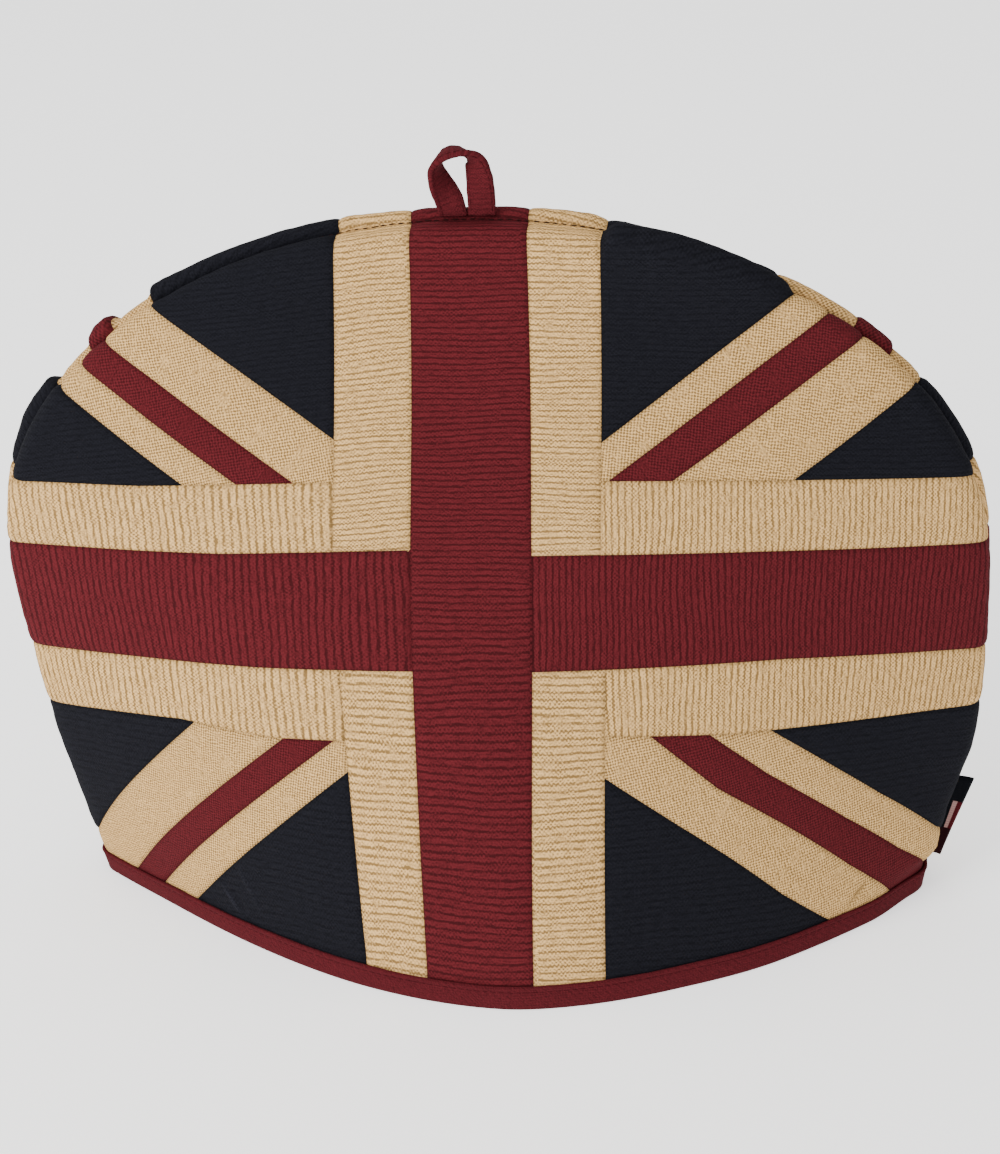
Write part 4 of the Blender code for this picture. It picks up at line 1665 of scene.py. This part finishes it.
def thread_piece(name: str, rows: list[Array], radius: float,
                 thread: Material) -> Piece:
    """Make many short stitches as one piece.

    Args:
        name: the piece's name.
        rows: the points along each stitch.
        radius: half the thread's thickness.
        thread: its material.

    Returns:
        The piece.
    """
    sides = 6
    swell = (0.25, 0.85, 1.0, 0.85, 0.25)
    points: list[Array] = []
    faces: list[tuple[int, ...]] = []
    uvs: list[tuple[float, float]] = []
    for row in rows:
        way = row[-1] - row[0]
        way /= np.linalg.norm(way)
        side = np.cross(way, (0.0, 0.0, 1.0))
        if np.linalg.norm(side) < 1e-3:
            side = np.array([1.0, 0.0, 0.0])
        side /= np.linalg.norm(side)
        up = np.cross(side, way)
        first = len(points)
        for centre, fat in zip(row, swell):
            for turn in range(sides):
                angle = 2 * math.pi * turn / sides
                points.append(centre + radius * fat * (math.cos(angle) * side + math.sin(angle) * up))
        for step in range(len(row) - 1):
            for turn in range(sides):
                beyond = (turn + 1) % sides
                cell = ((step, turn), (step, beyond), (step + 1, beyond), (step + 1, turn))
                faces.append(tuple(first + a * sides + b for a, b in cell))
                uvs += [(b * 0.4, a * 0.8) for a, b in cell]
        faces.append(tuple(first + turn for turn in reversed(range(sides))))
        faces.append(tuple(first + (len(row) - 1) * sides + turn for turn in range(sides)))
        uvs += [(0.0, 0.0)] * (2 * sides)
    mesh = bpy.data.meshes.new(name)
    mesh.from_pydata(np.array(points).tolist(), [], faces)
    set_weave_map(mesh, np.array(uvs))
    return closed_piece(mesh, thread, "red_canvas")


@dataclass(frozen=True)
class ClosingSeam:
    """The seam between the panels: the turned-in edges that fill it, dark with painted shade, and the
    thread along the top.
    """

    shape: CosyShape
    name: str = "closing_stitches"
    low: float = math.radians(14)
    high: float = math.radians(166)
    depth: float = 2.3 * MM
    behind: float = 0.15 * MM
    pitch: float = 3.1 * MM
    length: float = 2.3 * MM
    thread_radius: float = 0.23 * MM
    fold_insets: tuple[float, float] = (3.0 * MM, 6.5 * MM)
    fold_half: float = 0.14 * MM

    def build_fold(self, cloth: Material) -> Piece:
        """Make the turned-in edges that fill the whole seam under the stitches, in the dark thread's colour
        as painted shade.
        """
        upper, lower = (self.shape.ring(inset, 2 * MM) for inset in self.fold_insets)
        corners = ((upper, -1), (upper, 1), (lower, 1), (lower, -1))
        sides = [np.insert(line, 1, hand * self.fold_half, axis=1) for line, hand in corners]
        rings = np.stack(sides, axis=1)
        rings = self.shape.settled(rings.reshape(-1, 3)).reshape(rings.shape)
        places = np.zeros((*rings.shape[:2], 2))
        return closed_piece(swept_mesh("seam_fold", rings, places, False), cloth, "red_canvas")

    def build(self, thread: Material) -> Piece:
        """Make the stitches from their thread."""
        line = self.shape.dome(np.linspace(self.high, self.low, 400), self.depth)
        run = run_along(line)
        rows = []
        for index, start in enumerate(np.arange(0, run[-1] - self.length, self.pitch)):
            reach = self.length * (1 + 0.5 * sway(index * 0.9, 4.0))
            row = np.insert(points_at(start + np.linspace(0, reach, 5), run, line), 1, self.behind, axis=1)
            rows.append(row + (0, 0, 0.3 * MM * sway(index * 0.45, 7.0)))
        return thread_piece(self.name, rows, self.thread_radius, thread)


class Turn(NamedTuple):
    """A station of the hanging loop: its centre, height over the edge, and twist in degrees."""

    x: float
    rise: float
    twist: float


@dataclass(frozen=True)
class HangingLoop:
    """The folded and stitched strip whose ends stand side by side in the top seam."""

    shape: CosyShape
    name: str = "hanging_loop_cloth"
    width: float = 9.5 * MM
    thick: float = 2.6 * MM
    stations: int = 72
    stitch_inset: float = 1.15 * MM
    thread_pitch: float = 2.6 * MM
    thread_length: float = 1.9 * MM
    thread_radius: float = 0.17 * MM
    rib_pitch: float = 1.9 * MM
    turns: tuple[Turn, ...] = (
        Turn(0.0059, -0.0007, 0),
        Turn(0.0059, 0.0075, 4),
        Turn(0.0057, 0.0137, 18),
        Turn(0.0043, 0.0192, 46),
        Turn(0.0000, 0.0214, 80),
        Turn(-0.0054, 0.0207, 93),
        Turn(-0.0087, 0.0168, 78),
        Turn(-0.0077, 0.0110, 52),
        Turn(-0.0053, 0.0055, 18),
        Turn(-0.0039, -0.0007, 0),
    )

    def route(self) -> tuple[Array, Array, Array, Array]:
        """Return the strip's middle line, its two cross directions and the run along it."""
        rows = np.array(self.turns, float)
        marks = run_along(rows[:, :2])
        lengths = np.diff(marks)
        slopes = np.gradient(rows, marks, axis=0)
        slopes[0, 0] = slopes[-1, 0] = 0.0
        at = np.linspace(0, marks[-1], self.stations + 1)
        cell = np.clip(np.searchsorted(marks, at, side="right") - 1, 0, len(lengths) - 1)
        t = ((at - marks[cell]) / lengths[cell])[:, None]
        pull, push = slopes[cell] * lengths[cell][:, None], slopes[cell + 1] * lengths[cell][:, None]
        blend = 3 * t**2 - 2 * t**3
        path = rows[cell] + blend * (rows[cell + 1] - rows[cell])
        path += (t - 2 * t**2 + t**3) * pull + (t**3 - t**2) * push
        centre = np.column_stack([path[:, 0], np.zeros(len(path)), self.shape.height + path[:, 1]])
        along = np.gradient(centre, axis=0)
        along[0], along[-1] = (0, 0, 1), (0, 0, -1)
        along /= np.linalg.norm(along, axis=1, keepdims=True)
        across = np.cross(along, (0, 1, 0))
        twist = np.radians(path[:, 2])[:, None]
        wide = np.cos(twist) * across + np.sin(twist) * np.array([0, 1.0, 0])
        return centre, wide, np.cross(wide, along), at

    def section(self) -> Array:
        """Return the folded strip's section as (wide, thick) shares of its half sizes."""
        groove = 1 - 2 * self.stitch_inset / self.width
        wide = np.array([-0.80, -0.5, -0.2, 0.1, 0.4, 0.65, 0.86, 0.97])
        top = np.array([0.92, 0.98, 1.0, 1.0, 0.98, 0.92, 0.80, 0.62])
        top = top - 0.30 * fading(np.abs(wide) - groove, 0.09)
        upper = np.column_stack([wide, top])
        fold = np.array([[-1.0, -0.35], [-1.0, 0.35]])
        slit = np.array([[0.99, 0.10], [-0.72, 0.06], [-0.72, -0.06], [0.99, -0.10]])
        lower = upper[::-1] * (1, -1)
        return np.vstack([fold, [[-0.93, 0.75]], upper, slit, lower, [[-0.93, -0.75]]])

    def build(self, cloth: Material, thread: Material) -> list[Piece]:
        """Make the loop and its stitches.

        Args:
            cloth: the strip's material.
            thread: the stitches' material.

        Returns:
            Both pieces.
        """
        centre, wide, thin, run = self.route()
        section = self.section() * (0.5 * self.width, 0.5 * self.thick)
        puff = np.array([1 + 0.05 * sway(at * 300, 9.0) for at in run])
        rings = (centre[:, None, :] + section[None, :, :1] * wide[:, None, :] * puff[:, None, None]
                 + section[None, :, 1:] * thin[:, None, :])
        weave = np.stack(np.broadcast_arrays(section[None, :, 0], run[:, None]), axis=-1) / self.rib_pitch
        mesh = swept_mesh(self.name, rings, weave, False)
        strip = closed_piece(mesh, cloth, "red_canvas", "hanging_loop")
        rows = []
        level, proud = 0.5 * self.width - self.stitch_inset, 0.40 * self.thick
        for start in np.arange(1.5 * MM, run[-1] - 2.5 * MM, self.thread_pitch):
            spots = start + np.linspace(0, self.thread_length, 5)
            middle, aside, out = (points_at(spots, run, field) for field in (centre, wide, thin))
            for hand, face in ((-1, -1), (-1, 1), (1, -1), (1, 1)):
                rows.append(middle + hand * level * aside + face * proud * out)
        stitches = thread_piece("loop_stitches", rows, self.thread_radius, thread)
        LOG.info("loop strip %.1f mm long", run[-1] / MM)
        return [strip, stitches]


@dataclass(frozen=True)
class SideTag:
    """The short ribbon folded in two in the right side seam.

    Attributes:
        shape: the cosy's shape.
        foot: the height of the ribbon's lower edge.
        top: the height of its upper edge.
        name: the piece's name.
        ribbon: the ribbon's thickness.
        thick: the thickness of both layers with what lies between them.
        seat: how deep the seam holds it.
        reach_top: how far it stands out of the seam at its top.
        reach_foot: the same at its foot.
        curl: how far its fold leans forwards.
        tuck: how far its foot is drawn in with the corner of the hem.
        sink: how far its foot lies forwards with the settled hem.
        rows: how many steps it has up its height.
        columns: how many points it has across.
    """

    shape: CosyShape
    foot: float
    top: float
    name: str = "side_tag_ribbon"
    ribbon: float = 0.45 * MM
    thick: float = 1.2 * MM
    seat: float = 1.2 * MM
    reach_top: float = 6.0 * MM
    reach_foot: float = 3.0 * MM
    curl: float = 1.6 * MM
    tuck: float = 1.5 * MM
    sink: float = 2.0 * MM
    rows: int = 16
    columns: int = 8

    def build(self, ribbon: Material) -> Piece:
        """Make the tag from its material."""
        rings, places = [], []
        for row in range(self.rows + 1):
            up = row / self.rows
            height = self.foot + up * (self.top - self.foot)
            down = (1 - up) ** 2
            edge = float(self.shape.half_width(height)) - self.tuck * down
            reach = self.reach_foot + up**1.6 * (self.reach_top - self.reach_foot)
            out = np.linspace(0, 1, self.columns)
            x = edge - self.seat + out * (reach + self.seat - 0.3 * MM)
            y = -self.curl * out**2 + 0.10 * MM * math.sin(5 * up) - self.sink * down
            half, slit = 0.5 * self.thick, 0.5 * self.thick - self.ribbon
            front, rear, inner_front, inner_rear = (
                np.column_stack([x, y + shift]) for shift in (-half, half, -slit, slit)
            )
            tip = [(x[-1] + 0.25 * MM, y[-1] + way * 0.3 * MM) for way in (-1, 1)]
            line = np.vstack([front, tip, rear[::-1], inner_rear[:-1], inner_front[-2::-1]])
            line[:, 0] = np.minimum(line[:, 0], self.shape.waist_half + 0.3 * MM)
            rings.append(np.insert(line, 2, height, axis=1))
            places.append(np.column_stack([(line[:, 0] - edge) / reach, np.full(len(line), up)]))
        mesh = swept_mesh(self.name, np.array(rings), np.array(places), False)
        tag = closed_piece(mesh, ribbon, "tag_ribbon", "side_tag")
        return tag


# ---------------------------------------------------------------------------
# Studio
# ---------------------------------------------------------------------------


class Lamp(NamedTuple):
    """A soft square light, aimed at the middle of the cosy."""

    name: str
    place: tuple[float, float, float]
    size: float
    watts: float
    colour: Colour


@dataclass(frozen=True)
class Studio:
    """Pale floor, soft light and the camera at the photograph's angle."""

    elevation: float = math.radians(27.65)
    azimuth: float = math.radians(9.1)
    roll: float = math.radians(4.17)
    distance: float = 0.9225
    target: tuple[float, float, float] = (0.00292, 0.0, 0.12508)
    focal_pixels: float = 2546.8
    frame_height_pixels: float = 1154
    sensor: float = 36.0
    floor_size: float = 16.0
    glow: float = 0.9
    lamps: tuple[Lamp, ...] = (
        Lamp("key_light", (-1.36, -1.30, 1.2), 1.1, 46.5, (1.0, 0.99, 0.97)),
        Lamp("fill_light", (1.3, -1.5, 1.0), 1.6, 0.2, (0.97, 0.98, 1.0)),
        Lamp("top_light", (-0.3, 0.4, 1.9), 1.4, 12.0, (1.0, 1.0, 1.0)),
    )

    def build_camera(self) -> Piece:
        """Make the camera."""
        el, az = self.elevation, self.azimuth
        back = Vector((math.cos(el) * math.sin(az), -math.cos(el) * math.cos(az), math.sin(el)))
        right = Vector((math.cos(az), math.sin(az), 0))
        up = back.cross(right)
        turned_right = right * math.cos(self.roll) - up * math.sin(self.roll)
        turned_up = right * math.sin(self.roll) + up * math.cos(self.roll)
        data = bpy.data.cameras.new("camera")
        data.sensor_width = self.sensor
        data.lens = self.focal_pixels / self.frame_height_pixels * self.sensor
        data.clip_start, data.clip_end = 0.05, 60.0
        camera = bpy.data.objects.new("camera", data)
        bpy.context.scene.collection.objects.link(camera)
        turn = Matrix((turned_right, turned_up, back)).transposed()
        camera.matrix_world = Matrix.Translation(Vector(self.target) + back * self.distance) @ turn.to_4x4()
        bpy.context.scene.camera = camera
        return camera

    def build_floor(self) -> Piece:
        """Make the plain pale floor."""
        mesh = bpy.data.meshes.new("floor")
        half = 0.5 * self.floor_size
        corners = [(-half, -half, 0), (half, -half, 0), (half, half, 0), (-half, half, 0)]
        mesh.from_pydata(corners, [], [(0, 1, 2, 3)])
        material = bpy.data.materials.new("floor_paper")
        material.use_nodes = True
        shader = material.node_tree.nodes["Principled BSDF"]
        shader.inputs["Base Color"].default_value = (0.93, 0.93, 0.93, 1)
        shader.inputs["Roughness"].default_value = 0.95
        shader.inputs["Specular IOR Level"].default_value = 0.1
        shader.inputs["Emission Color"].default_value = (1, 1, 1, 1)
        shader.inputs["Emission Strength"].default_value = self.glow
        mesh.materials.append(material)
        floor = bpy.data.objects.new("floor", mesh)
        bpy.context.scene.collection.objects.link(floor)
        return floor

    def build_lights(self) -> None:
        """Make the soft lights and the pale surroundings."""
        for lamp in self.lamps:
            data = bpy.data.lights.new(lamp.name, "AREA")
            data.energy, data.size, data.color = lamp.watts, lamp.size, lamp.colour
            light = bpy.data.objects.new(lamp.name, data)
            light.location = lamp.place
            aim = Vector(self.target) - light.location
            light.rotation_euler = aim.to_track_quat("-Z", "Y").to_euler()
            bpy.context.scene.collection.objects.link(light)
        world = bpy.data.worlds.new("studio")
        world.use_nodes = True
        world.node_tree.nodes["Background"].inputs["Color"].default_value = (1, 1, 1, 1)
        world.node_tree.nodes["Background"].inputs["Strength"].default_value = self.glow
        bpy.context.scene.world = world


def main() -> None:
    """Build the studio and dress the cosy, piece by piece."""
    logging.basicConfig(level=logging.INFO, format="%(message)s")
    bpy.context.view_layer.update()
    studio = Studio()
    studio.build_camera()
    studio.build_floor()
    studio.build_lights()
    effects = Effects()
    cloths = {patch: finish.build(effects) for patch, finish in FINISHES.items()}
    thread = THREAD_FINISH.build(effects)
    shape = CosyShape.of_frame()
    cut = FlatCut(shape)
    back_seams = tuple(seam.turned(21.0, BACK_SLIDES) for seam in SEAMS)
    panels = (
        PaddedPanel("front_panel_quilt", "front_panel", -1, shape, cut,
                    Patchwork(SEAMS, FRONT_CREASES), FRONT_ROLLS),
        PaddedPanel("back_panel_quilt", "back_panel", 1, shape, cut, Patchwork(back_seams), BACK_ROLLS),
    )
    pieces = [panel.build(cloths) for panel in panels]
    binding = HemBinding(shape, height=round(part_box("hem_binding")[1].z, 5))
    pieces += binding.build(BINDING_FINISH.build(effects), thread)
    seam, seam_thread_and_shade = ClosingSeam(shape), SEAM_THREAD_AND_SHADE_FINISH.build(effects)
    pieces += [seam.build(seam_thread_and_shade), seam.build_fold(seam_thread_and_shade)]
    pieces += HangingLoop(shape).build(LOOP_FINISH.build(effects), thread)
    tag_low, tag_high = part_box("side_tag")
    pieces.append(SideTag(shape, tag_low.z, tag_high.z).build(TagFinish("tag_ribbon_cloth").build(effects)))
    for piece in pieces:
        LOG.info("%s: %d faces", piece.name, len(piece.data.polygons))


if __name__ == "__main__":
    main()
